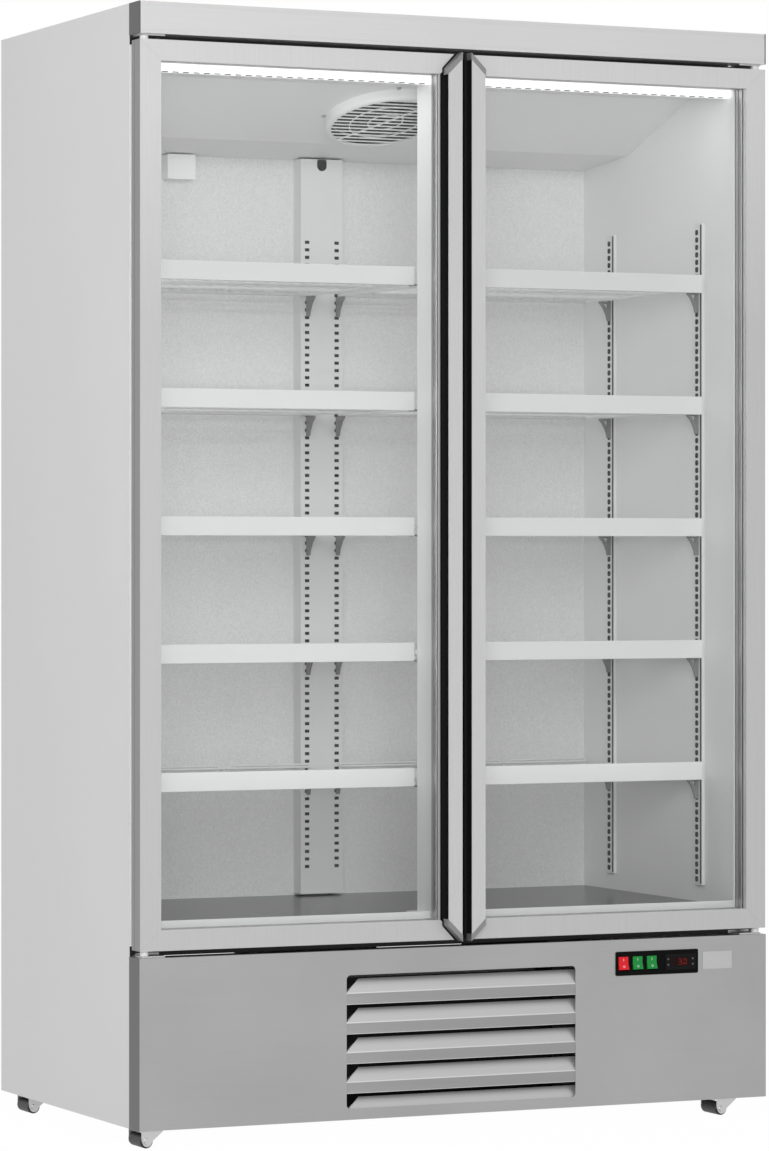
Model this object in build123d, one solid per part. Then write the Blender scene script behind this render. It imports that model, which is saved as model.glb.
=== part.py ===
from build123d import *
import math
import os

# Upright refrigerator with two glass doors, five shelf levels and a machine base.
# Millimetres, +X to the right, +Y to the back, +Z up. The origin is on the floor,
# below the middle of the whole outline, so the doors face -Y.

# Cabinet
overall_height = 2000.0
cabinet_width = 1250.0
body_depth = 645.0
front_depth = 48.0          # doors, canopy and lower panel in front of the body
wall = 41.0                 # insulated wall from outer skin to liner
sheet = 1.2                 # sheet metal of the skins and the liner
skin_return = 24.0          # folded edge along each side panel
face_thickness = 3.0        # steel frame that the door seals meet
header_height = 39.0        # face frame above the opening, below the canopy
header_shelf = 36.0         # depth of the face frame's upper return
sill_rise = 11.0            # lip of the face frame above the inner floor
sill_step = 1.0             # inner floor above the lower rail of the doors
floor_thickness = 45.0      # insulated floor
panel_edge = 14.0           # folded edges of the front covers

# Heights of the front, from the floor up
caster_height = 31.0
lower_panel_height = 301.0
lower_gap = 12.0
upper_gap = 10.0
canopy_height = 56.0

# Canopy
end_cap_thickness = 2.5
crease_inset = 6.0
crease_depth = 0.6

# Doors
side_inset = 1.2            # door edge behind the cabinet's side
door_gap = 8.0              # between the two doors
frame_width = 40.0          # stiles, seen from the front
rail_height = 36.5          # top and bottom rails
frame_depth = 38.0
frame_wall = 2.4
glass_setback = 12.0        # outer pane behind the frame's front
pane = 4.0
air_space = 12.0
glass_bite = 10.0           # glass edge held inside the frame
glass_play = 0.5
spacer_height = 8.0
gasket_width = 16.0
gasket_edge = 21.0          # seal's outer edge from the door's hinge edge
gasket_edge_rail = 7.0      # the same at the top, bottom and free edge
gasket_skin = 3.0           # around the seal's hollow
running_gap = 0.3           # between pieces that move past each other
hinge_inset = 15.0          # door pivot from the cabinet's side
hinge_setback = 15.0        # door pivot behind the door's front
pin_radius = 4.0
bore_play = 0.05
bush_radius = 7.5
bush_barrel_radius = 6.0
bush_depth = 14.0
bush_floor = 1.0            # bush material below the pin's end
hinge_plate = 3.0
hinge_plate_length = 44.0
hinge_pin_reach = 12.0      # pin inside the door

# Handles
handle_proud = 20.0
handle_width = 27.0
handle_edge = 5.5           # handle's outer side from the door's free edge
handle_wall = 2.0
handle_web = 4.5
finger_recess = 8.0         # channel sunk into the stile's front
face_strip = 2.0
cap_thickness = 12.0        # measured upright, the plate itself lies at 45 degrees
cap_overhang = 1.0
cap_rise = 2.3              # tip of the cap beyond the door's end

# Mullion between the doors
mullion_width = 61.0
mullion_depth = 77.0
mullion_wall = 2.0
foot_width = 84.0
foot_depth = 96.0
foot_height = 5.0

# Lamps under the header
lamp_height = 20.0
lamp_depth = 20.0
lamp_lens = 4.0
lamp_side_gap = 4.0
lamp_setback = 8.0
lamp_cover_gap = 2.0        # between the lamps and the evaporator cover

# Evaporator housing in the ceiling
cover_front_height = 10.0   # drop of the cover below the header
cover_flat = 142.0          # level strip behind the lamps
cover_slope_run = 250.0
cover_slope_drop = 86.0
cover_rear_drop = 16.0
fan_hole_radius = 101.0
fan_along_slope = 120.0     # fan centre below the fold, measured on the sloping face
guard_outer_radius = 112.0
guard_inner_radius = 103.0
guard_height = 20.0
guard_wire = 2.0
guard_pitch = 14.0
guard_inner_ring = 34.0
guard_middle_ring = 69.0
guard_spoke_turn = 55.0
guard_edge_share = 0.8      # rounding, as a share of the rim's width
fan_radius = 94.0
fan_hub_radius = 26.0
fan_hub_length = 22.0
fan_blades = 5
blade_thickness = 2.0
blade_angle = 28.0
blade_width = 46.0
blade_clearance = 5.0
motor_radius = 34.0
motor_length = 36.0
motor_gap = 4.0             # between the fan hub and its motor
motor_arm_width = 12.0
motor_arm_thickness = 3.0
motor_arm_overlap = 9.0     # arm's end beyond the edge of the fan's hole
shaft_radius = 4.0
shaft_shoulder = 2.0
coil_side_gap = 150.0
coil_height = 128.0
coil_depth = 150.0
coil_back_gap = 12.0
coil_frame = 3.0
coil_tube_end = 12.0
coil_rows = 2
coil_columns = 3
tube_radius = 5.0

# Sensor box on the back wall
sensor_width = 57.0
sensor_height = 47.0
sensor_depth = 30.0
sensor_from_side = 308.0
sensor_corner = 3.0

# Shelf supports
column_width = 88.0
column_depth = 35.0
column_lift = 4.0
column_slot_offset = 31.0
pilaster_width = 27.0
pilaster_depth = 6.0
pilaster_bottom = 32.0      # above the inner floor
pilaster_length = 1245.0
pilaster_front = 126.0      # centre of the front upright behind the cabinet's face
pilaster_rear_gap = 123.0   # centre of the rear upright ahead of the liner's back
bracket_height = 38.0
bracket_reach = 25.0
column_bracket_reach = 36.0
bracket_thickness = 4.0
mullion_bracket_reach = 58.0
mullion_bracket_offset = 18.0

# Outline of a bracket's front edge, as shares of its reach and of its height
bracket_curve = [(1, 0), (1, 0.08), (0.74, 0.27), (0.54, 0.5), (0.38, 0.76), (0.31, 1)]
bracket_window = [(0.3, 0.13), (0.62, 0.13), (0.3, 0.42)]
mullion_bracket_curve = [(1, 0), (1, 0.07), (0.42, 0.07), (0.2, 0.35), (0.14, 1)]

# Shelves
shelf_count = 5
shelf_lowest = 646.0        # top of the lowest shelf front
shelf_pitch = 228.75
shelf_front_setback = 108.0
shelf_rear_gap = 44.0       # between a shelf and the liner's back
shelf_side_gap = 7.0
shelf_side_play = 1.0       # between a shelf front and the bracket beside it
fascia_height = 34.0
fascia_thickness = 3.0
fascia_lip = 10.0
deck_side_gap = 19.0        # between the wire deck and the liner
deck_centre = 29.0          # deck's inner edge from the cabinet's middle
deck_drop = 22.0            # wires below the top of the front strip
wire_radius = 2.0
rim_radius = 3.0
cross_rims = 2              # between the front and the rear rim
deck_wire_pitch = 36.0
rail_drop = 12.0            # rear rail below the top of the front strip
rail_bend = 4.0
lower_rail_drop = 17.0
rail_end_inset = 4.0        # rear rail's ends from the deck's ends
notch_from_end = 177.0      # dips in the rear rail
notch_half = 15.0

# Lower panel, louvre and controls
louvre_width = 457.0
louvre_height = 238.0
louvre_bottom = 19.0        # opening above the panel's lower edge
louvre_corner = 8.0
slat_count = 5
slat_pitch = 52.7
slat_face = 20.4
slat_thickness = 1.5
slat_depth = 14.0
slat_gap = 9.0
slat_taper = 30.0           # slope's left end, cut back at its rear edge
slat_foot = 9.0             # lowest slat's foot below the opening
bezel_width = 171.0
bezel_height = 44.0
bezel_from_side = 229.0     # centre from the cabinet's right side
bezel_rise = 257.0          # centre above the panel's lower edge
bezel_proud = 1.5
bezel_back = 3.0
bezel_corner = 3.0
rocker_width = 19.5
rocker_height = 23.6
rocker_from_centre = 70.0   # first rocker left of the bezel's centre
rocker_pitch = 29.25
rocker_dish = 2.2
rocker_front = 4.0          # middle of the rocker ahead of its pivot
rocker_back = 5.0
rocker_pivot = 3.0          # pivot behind the bezel's front
rocker_side_play = 0.4
rocker_end_play = 1.5
rocker_tilt = 10.0          # each way from the middle
trunnion_radius = 1.5
trunnion_length = 1.0
housing_wall = 2.0
housing_depth = 16.0
display_width = 63.0
display_height = 28.5
display_from_centre = 48.0
thermostat_depth = 58.0
thermostat_lip = 1.0
plate_width = 61.0
plate_height = 32.0
plate_gap = 10.0            # between the bezel and the rating plate
plate_thickness = 0.8

# Machine base
base_sheet = 2.0
condenser_width = 420.0
condenser_height = 226.0
condenser_depth = 56.0
condenser_setback = 12.0
condenser_rows = 4
shroud_thickness = 2.0
shroud_margin = 14.0
cooling_fan_radius = 96.0
cooling_hole_play = 5.0
compressor_radius = 78.0
compressor_height = 176.0
compressor_from_side = 325.0
compressor_from_back = 190.0
compressor_foot = 12.0
foot_radius = 9.0
foot_plate = 3.0
foot_plate_margin = 10.0
foot_spread = 0.6           # of the compressor's radius, front and back
dome_fillet = 30.0
pan_width = 300.0
pan_depth = 220.0
pan_height = 34.0
pan_wall = 2.0
pan_from_side = 145.0
pan_setback = 300.0
control_box_width = 150.0
control_box_depth = 70.0
control_box_height = 72.0
control_box_from_side = 375.0
control_box_setback = 250.0
control_box_corner = 4.0
pipe_radius = 4.0
pipe_bend = 22.0
drier_radius = 11.0
drier_length = 110.0
drier_setback = 90.0        # behind the condenser's tubes
discharge_rise = 34.0
discharge_side = 45.0       # pipe beside the condenser's tube ends
discharge_turn = 120.0      # turn point ahead of the compressor
liquid_side = 40.0
liquid_run = 50.0
suction_drop = 60.0         # below the compressor's top
suction_side = 50.0
grille_slots = 9
grille_slot_height = 10.0
grille_slot_width = 300.0
gland_radius = 11.0
gland_bore = 5.0
gland_length = 16.0
gland_wall = 4.0

# Casters: low rollers that turn about a front-to-back axle
roller_radius = 12.0
roller_length = 56.0
roller_play = 1.0
roller_edge = 1.5
axle_radius = 3.0
axle_head = 5.5
axle_head_length = 2.5
caster_plate = 2.5
caster_top_width = 39.0
caster_edge = 10.0          # bracket edge beside the axle
caster_tip = 9.0            # half width of the bracket around the axle
left_axle_inset = 17.0
right_axle_inset = 90.0
front_axle_setback = 5.0    # bracket's front face behind the panel's front
rear_axle_setback = 562.0

# Screws
screw_head_radius = 3.2
screw_head_height = 1.6
washer_radius = 4.5
washer_height = 0.8

# Places worked out from the sizes
half_width = cabinet_width / 2
total_depth = handle_proud + front_depth + body_depth
front_y = -total_depth / 2 + handle_proud
body_y = front_y + front_depth
back_y = body_y + body_depth
panel_top = caster_height + lower_panel_height
door_bottom = panel_top + lower_gap
canopy_bottom = overall_height - canopy_height
door_top = canopy_bottom - upper_gap
liner_x = half_width - wall
liner_back_y = back_y - wall
ceiling = overall_height - wall
header_bottom = canopy_bottom - header_height
inner_floor = door_bottom + rail_height + sill_step
sill_top = inner_floor + sill_rise
machine_top = inner_floor - floor_thickness
liner_front_y = body_y + face_thickness
pilaster_rear = body_depth - wall - pilaster_rear_gap
shelf_depth = body_depth - wall - shelf_front_setback - shelf_rear_gap
bezel_centre = half_width - bezel_from_side
rocker_first = bezel_centre - rocker_from_centre
display_centre = bezel_centre + display_from_centre
plate_centre = bezel_centre + bezel_width / 2 + plate_gap + plate_width / 2
compressor_x = half_width - compressor_from_side
pan_x = -half_width + pan_from_side + pan_width / 2
control_box_x = half_width - control_box_from_side

# Evaporator cover, as points of its folded lower surface
cover_y0 = body_y + lamp_setback + lamp_depth + lamp_cover_gap
cover_z0 = header_bottom - cover_front_height
cover_y1 = cover_y0 + cover_flat
cover_y2 = cover_y1 + cover_slope_run
cover_z2 = cover_z0 - cover_slope_drop
cover_y3 = liner_back_y - sheet
cover_z3 = cover_z2 - cover_rear_drop
slope_length = math.hypot(cover_slope_drop, cover_slope_run)
fan_y = cover_y1 + cover_slope_run * fan_along_slope / slope_length
fan_z = cover_z0 - cover_slope_drop * fan_along_slope / slope_length
fan_axis = Vector(0, -cover_slope_drop, -cover_slope_run).normalized()

condenser_y = body_y + condenser_setback
shroud_y = condenser_y + condenser_depth
cooling_fan_z = caster_height + base_sheet + shroud_margin + condenser_height / 2
cooling_fan_y = shroud_y + shroud_thickness + blade_clearance + fan_hub_length / 2


def block(x0, x1, y0, y1, z0, z1):
    centre = Pos((x0 + x1) / 2, (y0 + y1) / 2, (z0 + z1) / 2)
    return centre * Box(x1 - x0, y1 - y0, z1 - z0)


def prism_along_y(points, y0, y1):
    outline = Plane.XZ * Polygon(*points, align=None)
    return Pos(0, y0, 0) * extrude(outline, amount=y1 - y0, dir=(0, 1, 0))


def prism_along_x(points, x0, x1):
    outline = Plane.YZ * Polygon(*points, align=None)
    return Pos(x0, 0, 0) * extrude(outline, amount=x1 - x0, dir=(1, 0, 0))


def rod_x(radius, x0, x1, y, z):
    return Pos((x0 + x1) / 2, y, z) * Rot(0, 90, 0) * Cylinder(radius, x1 - x0)


def rod_y(radius, y0, y1, x, z):
    return Pos(x, (y0 + y1) / 2, z) * Rot(90, 0, 0) * Cylinder(radius, y1 - y0)


def rod_z(radius, z0, z1, x, y):
    return Pos(x, y, (z0 + z1) / 2) * Cylinder(radius, z1 - z0)


def tube(points, radius, bend):
    path = FilletPolyline(*points, radius=bend)
    start = Plane(origin=path @ 0, z_dir=path % 0)
    return sweep(start * Circle(radius), path=path)


def mirrored(shape):
    return mirror(shape, about=Plane.YZ)


def save(name, *solids):
    pieces = []
    for shape in solids:
        pieces.extend(shape.solids())
    whole = pieces[0] if len(pieces) == 1 else Compound(children=pieces)
    export_step(whole, f"parts/{name}.step")


# Outer shell
def side_panel():
    skin = block(-half_width, -half_width + sheet, body_y, back_y, caster_height, overall_height)
    front_fold = block(-half_width, -half_width + skin_return, body_y, body_y + sheet,
                       caster_height, door_bottom - lower_gap)
    rear_fold = block(-half_width, -half_width + skin_return, back_y - sheet, back_y,
                      caster_height, overall_height)
    return skin + front_fold + rear_fold


def top_panel():
    x = half_width - sheet
    return block(-x, x, body_y, back_y - sheet, overall_height - sheet, overall_height)


def back_panel():
    x = half_width - skin_return
    return block(-x, x, back_y - sheet, back_y, machine_top, overall_height)


def rear_grille():
    x = half_width - skin_return
    bottom = caster_height + base_sheet
    plate = block(-x, x, back_y - sheet, back_y, bottom, machine_top)
    pitch = (machine_top - bottom) / (grille_slots + 1)
    slots = []
    for row in range(grille_slots):
        z = bottom + pitch * (row + 1)
        for middle in (-x / 2, x / 2):
            slots.append(block(middle - grille_slot_width / 2, middle + grille_slot_width / 2,
                               back_y - 2 * sheet, back_y + sheet,
                               z - grille_slot_height / 2, z + grille_slot_height / 2))
    hole = rod_y(gland_radius, back_y - 2 * sheet, back_y + sheet, 0, bottom + 2 * pitch)
    return plate - slots - hole


def cable_gland():
    bottom = caster_height + base_sheet
    z = bottom + 2 * (machine_top - bottom) / (grille_slots + 1)
    barrel = rod_y(gland_radius, back_y - gland_length, back_y, 0, z)
    flange = rod_y(gland_radius + gland_wall, back_y - sheet - gland_wall, back_y - sheet, 0, z)
    return barrel + flange - rod_y(gland_bore, back_y - 2 * gland_length, back_y + 1, 0, z)


def base_tray():
    x = half_width - sheet
    floor = block(-x, x, body_y + sheet, back_y - sheet, caster_height, caster_height + base_sheet)
    toe = block(-half_width + end_cap_thickness, half_width - end_cap_thickness,
                front_y + sheet, body_y, caster_height + sheet, caster_height + sheet + base_sheet)
    joint = block(-x + skin_return, x - skin_return, body_y - base_sheet, body_y + base_sheet,
                  caster_height + sheet, caster_height + base_sheet)
    return floor + toe + joint


# Insulation and liner
def foam_slabs():
    outer = half_width - sheet
    inner = liner_x + sheet
    front = liner_front_y
    rear = back_y - sheet
    top = overall_height - sheet
    back_face = liner_back_y + sheet
    left = block(-outer, -inner, front, rear, machine_top, top)
    right = mirrored(left)
    ceiling_slab = block(-inner, inner, front, rear, ceiling + sheet, top)
    back = block(-inner, inner, back_face, rear, machine_top, ceiling + sheet)
    floor = block(-inner, inner, front, back_face, machine_top, inner_floor - sheet)
    return left, right, ceiling_slab, back, floor


def liner_walls():
    rear = liner_back_y + sheet
    left = block(-liner_x - sheet, -liner_x, liner_front_y, rear, inner_floor - sheet, ceiling + sheet)
    right = mirrored(left)
    top = block(-liner_x, liner_x, liner_front_y, liner_back_y, ceiling, ceiling + sheet)
    back = block(-liner_x, liner_x, liner_back_y, rear, inner_floor - sheet, ceiling + sheet)
    return left, right, top, back


def floor_pan():
    pan = block(-liner_x, liner_x, liner_front_y, liner_back_y, inner_floor - sheet, inner_floor)
    lip = block(-liner_x, liner_x, liner_front_y, liner_front_y + sheet, inner_floor, sill_top)
    return pan + lip


def face_frame():
    outer = half_width - sheet
    plate = block(-outer, outer, body_y, liner_front_y, panel_top, overall_height - sheet)
    opening = block(-liner_x, liner_x, body_y - 1, liner_front_y + 1, sill_top, header_bottom)
    shelf = block(-liner_x, liner_x, liner_front_y, body_y + header_shelf,
                  header_bottom, header_bottom + face_thickness)
    return plate - opening + shelf


def mullion():
    half = mullion_width / 2
    rear = body_y + mullion_depth
    post = block(-half, half, body_y, rear, sill_top, header_bottom)
    hollow = block(-half + mullion_wall, half - mullion_wall, body_y + mullion_wall,
                   rear - mullion_wall, sill_top + mullion_wall, header_bottom - mullion_wall)
    post -= block(-half - 1, half + 1, cover_y0 - sheet, rear + 1, cover_z0, header_bottom + 1)
    hollow -= block(-half, half, cover_y0 - sheet - mullion_wall, rear,
                    cover_z0 - mullion_wall, header_bottom)
    foot = block(-half, half, liner_front_y + sheet, rear, inner_floor, sill_top)
    sole = block(-foot_width / 2, foot_width / 2, liner_front_y + sheet,
                 liner_front_y + sheet + foot_depth, inner_floor, inner_floor + foot_height)
    return post + foot + sole - hollow


# Canopy
def canopy():
    x = half_width - end_cap_thickness
    body = block(-x, x, front_y, body_y, canopy_bottom, overall_height)
    pocket = block(-x - 1, x + 1, front_y + sheet, body_y + 1,
                   canopy_bottom + sheet, overall_height - sheet)
    creases = []
    for z in (canopy_bottom + crease_inset, overall_height - crease_inset):
        creases.append(block(-x - 1, x + 1, front_y - 1, front_y + crease_depth,
                             z - crease_depth, z + crease_depth))
    return body - pocket - creases


def canopy_end_cap():
    return block(-half_width, -half_width + end_cap_thickness, front_y, body_y,
                 canopy_bottom, overall_height)


# Lower panel with its louvre and controls
def lower_panel():
    body = block(-half_width, half_width, front_y, body_y, caster_height, panel_top)
    pocket = block(-half_width + sheet, half_width - sheet, front_y + sheet, body_y + 1,
                   caster_height + sheet, panel_top - sheet)
    well = block(-half_width + panel_edge, half_width - panel_edge, front_y + panel_edge,
                 body_y + 1, caster_height - 1, panel_top + 1)
    opening = block(-louvre_width / 2, louvre_width / 2, front_y - 1, front_y + panel_edge,
                    caster_height + louvre_bottom, caster_height + louvre_bottom + louvre_height)
    opening = fillet(opening.edges().filter_by(Axis.Y), louvre_corner)
    window = block(bezel_centre - bezel_width / 2 + bezel_back,
                   bezel_centre + bezel_width / 2 - bezel_back, front_y - 1, front_y + panel_edge,
                   caster_height + bezel_rise - bezel_height / 2 + bezel_back,
                   caster_height + bezel_rise + bezel_height / 2 - bezel_back)
    return body - pocket - well - opening - window


def louvre_slats():
    half = louvre_width / 2 + panel_edge / 2
    bottom = caster_height + louvre_bottom
    top = bottom + louvre_height
    y = front_y + sheet
    slats = []
    for row in range(slat_count):
        upper = top - row * slat_pitch - slat_gap
        edge = top - (row + 1) * slat_pitch + slat_face
        low = max(edge - slat_face, bottom - slat_foot)
        points = [(y, low), (y + slat_thickness, low),
                  (y + slat_thickness, edge - slat_thickness),
                  (y + slat_depth, upper), (y + slat_depth, upper + slat_thickness),
                  (y, edge)]
        slat = prism_along_x(points, -half, half)
        x = -louvre_width / 2
        over = upper + 2 * slat_thickness
        slat -= prism_along_y([(-half - 1, edge), (x, edge), (x + slat_taper, over), (-half - 1, over)],
                              y - 1, y + 2 * slat_depth)
        slats.append(slat)
    ends = []
    for side in (-1, 1):
        x0 = side * half
        x1 = side * (half + slat_thickness)
        ends.append(block(min(x0, x1), max(x0, x1), y, y + slat_depth, bottom - slat_foot, top))
    return slats + ends


def control_bezel():
    z = caster_height + bezel_rise
    half_w = bezel_width / 2
    half_h = bezel_height / 2
    front = front_y - bezel_proud
    plate = block(bezel_centre - half_w, bezel_centre + half_w, front, front_y,
                  z - half_h, z + half_h)
    plate = fillet(plate.edges().filter_by(Axis.Y), bezel_corner)
    rear = block(bezel_centre - half_w + bezel_back, bezel_centre + half_w - bezel_back,
                 front_y, front_y + sheet + bezel_back,
                 z - half_h + bezel_back, z + half_h - bezel_back)
    body = plate + rear
    hole_w = rocker_width / 2 + rocker_side_play
    hole_h = rocker_height / 2 + rocker_end_play
    for index in range(3):
        x = rocker_first + index * rocker_pitch
        body += block(x - hole_w - housing_wall, x + hole_w + housing_wall, front + bezel_proud,
                      front + housing_depth, z - hole_h - housing_wall, z + hole_h + housing_wall)
    for index in range(3):
        x = rocker_first + index * rocker_pitch
        body -= block(x - hole_w, x + hole_w, front - 1, front + housing_depth - housing_wall,
                      z - hole_h, z + hole_h)
        body -= rod_x(trunnion_radius + bore_play, x - hole_w - trunnion_length - bore_play,
                      x + hole_w + trunnion_length + bore_play, front + rocker_pivot, z)
    body -= block(display_centre - display_width / 2, display_centre + display_width / 2,
                  front - 1, front_y + sheet + bezel_back + 1,
                  z - display_height / 2, z + display_height / 2)
    return body


def thermostat():
    z = caster_height + bezel_rise
    x0 = display_centre - display_width / 2
    x1 = display_centre + display_width / 2
    front = front_y - bezel_proud
    return block(x0, x1, front - thermostat_lip, front + thermostat_depth,
                 z - display_height / 2, z + display_height / 2)


def rating_plate():
    z = caster_height + bezel_rise
    return block(plate_centre - plate_width / 2, plate_centre + plate_width / 2,
                 front_y - plate_thickness, front_y, z - plate_height / 2, z + plate_height / 2)


def rocker(index):
    x = rocker_first + index * rocker_pitch
    half_w = rocker_width / 2
    half_h = rocker_height / 2
    points = [(-rocker_front, 0), (-rocker_front - rocker_dish, half_h),
              (0, half_h), (rocker_back, half_h / 2), (rocker_back, -half_h / 2),
              (0, -half_h), (-rocker_front - rocker_dish, -half_h)]
    body = prism_along_x(points, -half_w, half_w)
    reach = half_w + rocker_side_play + trunnion_length
    body += rod_x(trunnion_radius, -reach, reach, 0, 0)
    tilted = Rot(-rocker_tilt, 0, 0) * body
    return Pos(x, front_y - bezel_proud + rocker_pivot, caster_height + bezel_rise) * tilted


# Lamps, evaporator and its fan
def lamp_bars():
    y0 = body_y + lamp_setback
    y1 = y0 + lamp_depth
    x0 = -liner_x + lamp_side_gap
    x1 = -mullion_width / 2 - lamp_side_gap
    housing = block(x0, x1, y0, y1, header_bottom - lamp_height + lamp_lens, header_bottom)
    lens = block(x0, x1, y0, y1, header_bottom - lamp_height, header_bottom - lamp_height + lamp_lens)
    return housing, lens, mirrored(housing), mirrored(lens)


def evaporator_cover():
    lower = [(cover_y0, cover_z0), (cover_y1, cover_z0), (cover_y2, cover_z2), (cover_y3, cover_z3)]
    upper = [(y, z + sheet) for y, z in reversed(lower)]
    front = [(cover_y0, header_bottom), (cover_y0 - sheet, header_bottom), (cover_y0 - sheet, cover_z0)]
    skin = prism_along_x(lower + upper + front, -liner_x, liner_x)
    axis = Plane(origin=(0, fan_y, fan_z), z_dir=fan_axis)
    return skin - axis * Cylinder(fan_hole_radius, guard_height)


def fan_guard():
    middle = Pos(0, 0, guard_height / 2)
    ring = middle * (Cylinder(guard_outer_radius, guard_height) - Cylinder(guard_inner_radius, guard_height))
    outer_edge = ring.edges().filter_by(GeomType.CIRCLE).group_by(Axis.Z)[-1].sort_by(SortBy.RADIUS)[-1]
    ring = fillet(outer_edge, guard_edge_share * (guard_outer_radius - guard_inner_radius))
    count = int(guard_inner_radius // guard_pitch)
    wires = []
    for row in range(-count, count + 1):
        offset = row * guard_pitch
        reach = math.sqrt(guard_inner_radius ** 2 - offset ** 2) + guard_wire / 2
        wires.append(Pos(0, offset, guard_height - guard_wire / 2) * Box(2 * reach, guard_wire, guard_wire))
    behind = Pos(0, 0, guard_height - 1.5 * guard_wire)
    rings = []
    for radius in (guard_inner_ring, guard_middle_ring):
        rings.append(behind * (Cylinder(radius, guard_wire) - Cylinder(radius - guard_wire, guard_wire)))
    spoke = behind * Rot(0, 0, guard_spoke_turn) * Box(
        2 * guard_inner_radius + guard_wire, 2 * guard_wire, guard_wire)
    body = ring + wires + rings + spoke
    return Plane(origin=(0, fan_y, fan_z), x_dir=(1, 0, 0), z_dir=fan_axis) * body


def fan_wheel(radius):
    hub = Cylinder(fan_hub_radius, fan_hub_length)
    root = fan_hub_radius - shaft_shoulder
    reach = radius - root
    blades = []
    for index in range(fan_blades):
        blade = Pos(root + reach / 2, 0, 0) * Rot(blade_angle, 0, 0) * Box(
            reach, blade_width, blade_thickness)
        blades.append(Rot(0, 0, index * 360 / fan_blades) * blade)
    bore = Cylinder(shaft_radius + bore_play, fan_hub_length + 2)
    limit = Cylinder(radius, 2 * fan_hub_length)
    return ((hub + blades) & limit) - bore


def motor():
    near = fan_hub_length / 2 + motor_gap
    body = Pos(0, 0, near + motor_length / 2) * Cylinder(motor_radius, motor_length)
    shaft = Pos(0, 0, motor_gap / 2) * Cylinder(shaft_radius, fan_hub_length + motor_gap)
    return body + shaft


def motor_arms(hole_radius):
    t = motor_arm_thickness
    reach = hole_radius + motor_arm_overlap
    rear = fan_hub_length / 2 + motor_gap + motor_length
    drop = fan_hub_length / 2 + blade_clearance
    arms = []
    for turn in (45, 135, 225, 315):
        bar = Pos(reach / 2, 0, rear + t / 2) * Box(reach, motor_arm_width, t)
        post = Pos(reach - t / 2, 0, (rear + t - drop) / 2) * Box(t, motor_arm_width, rear + t + drop)
        arms.append(Rot(0, 0, turn) * (bar + post))
    return arms


def evaporator_fan_place():
    depth = fan_hub_length / 2 + blade_clearance
    centre = Vector(0, fan_y, fan_z) - fan_axis * (depth + sheet)
    return Plane(origin=centre, x_dir=(1, 0, 0), z_dir=-fan_axis)


def evaporator_motor():
    return evaporator_fan_place() * (motor() + motor_arms(fan_hole_radius))


def evaporator_coil():
    x = liner_x - coil_side_gap
    y1 = liner_back_y - coil_back_gap
    y0 = y1 - coil_depth
    z0 = ceiling - coil_height
    body = block(-x, x, y0 + coil_frame, y1 - coil_frame, z0 + coil_frame, ceiling)
    for side in (-x, x):
        body += block(side - coil_frame / 2, side + coil_frame / 2, y0, y1, z0, ceiling)
    for row in range(coil_rows):
        for column in range(coil_columns):
            y = y0 + coil_depth * (column + 0.5) / coil_columns
            z = z0 + coil_height * (row + 0.5) / coil_rows
            body += rod_x(tube_radius, -x - coil_tube_end, x + coil_tube_end, y, z)
    return body


def sensor_box():
    x0 = -half_width + sensor_from_side
    z1 = cover_z3
    body = block(x0, x0 + sensor_width, liner_back_y - sensor_depth, liner_back_y,
                 z1 - sensor_height, z1)
    return fillet(body.edges().filter_by(Axis.Y), sensor_corner)


# Shelf supports
def back_column():
    half = column_width / 2
    y0 = liner_back_y - column_depth
    z0 = inner_floor + column_lift
    z1 = cover_z3
    outer = block(-half, half, y0, liner_back_y, z0, z1)
    inner = block(-half + sheet, half - sheet, y0 + sheet, liner_back_y + 1, z0 - 1, z1 + 1)
    return outer - inner


def wall_pilasters():
    z0 = inner_floor + pilaster_bottom
    z1 = z0 + pilaster_length
    strips = []
    for middle in (pilaster_front, pilaster_rear):
        y = body_y + middle
        outer = block(-liner_x, -liner_x + pilaster_depth, y - pilaster_width / 2,
                      y + pilaster_width / 2, z0, z1)
        inner = block(-liner_x - 1, -liner_x + pilaster_depth - sheet,
                      y - pilaster_width / 2 + sheet, y + pilaster_width / 2 - sheet, z0 - 1, z1 + 1)
        strips.append(outer - inner)
    return strips + [mirrored(strip) for strip in strips]


def shelf_top(level):
    return shelf_lowest + level * shelf_pitch


def bracket_seat(level):
    return shelf_top(level) - deck_drop - 2 * wire_radius - 2 * rim_radius


# Points of a bracket that stands on a wall at base and reaches out by reach
def bracket_points(curve, base, reach, seat):
    return [(base + reach * out, seat - bracket_height * down) for out, down in curve]


def bracket_outline(curve, base, reach, seat):
    return [(base, seat - bracket_height), (base, seat)] + bracket_points(curve, base, reach, seat)


def shelf_brackets():
    brackets = []
    half_t = bracket_thickness / 2
    for level in range(shelf_count):
        seat = bracket_seat(level)
        base = -liner_x + pilaster_depth
        outline = bracket_outline(bracket_curve, base, bracket_reach, seat)
        window = bracket_points(bracket_window, base, bracket_reach, seat)
        for middle in (pilaster_front, pilaster_rear):
            y = body_y + middle
            bracket = prism_along_y(outline, y - half_t, y + half_t)
            bracket -= prism_along_y(window, y - bracket_thickness, y + bracket_thickness)
            brackets.extend([bracket, mirrored(bracket)])
        outline = bracket_outline(bracket_curve, liner_back_y - column_depth, -column_bracket_reach, seat)
        bracket = prism_along_x(outline, -column_slot_offset - half_t, -column_slot_offset + half_t)
        brackets.extend([bracket, mirrored(bracket)])
        outline = bracket_outline(mullion_bracket_curve, body_y + mullion_depth, mullion_bracket_reach, seat)
        x = mullion_bracket_offset
        bracket = prism_along_x(outline, -x - half_t, -x + half_t)
        brackets.extend([bracket, mirrored(bracket)])
    return brackets


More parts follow.
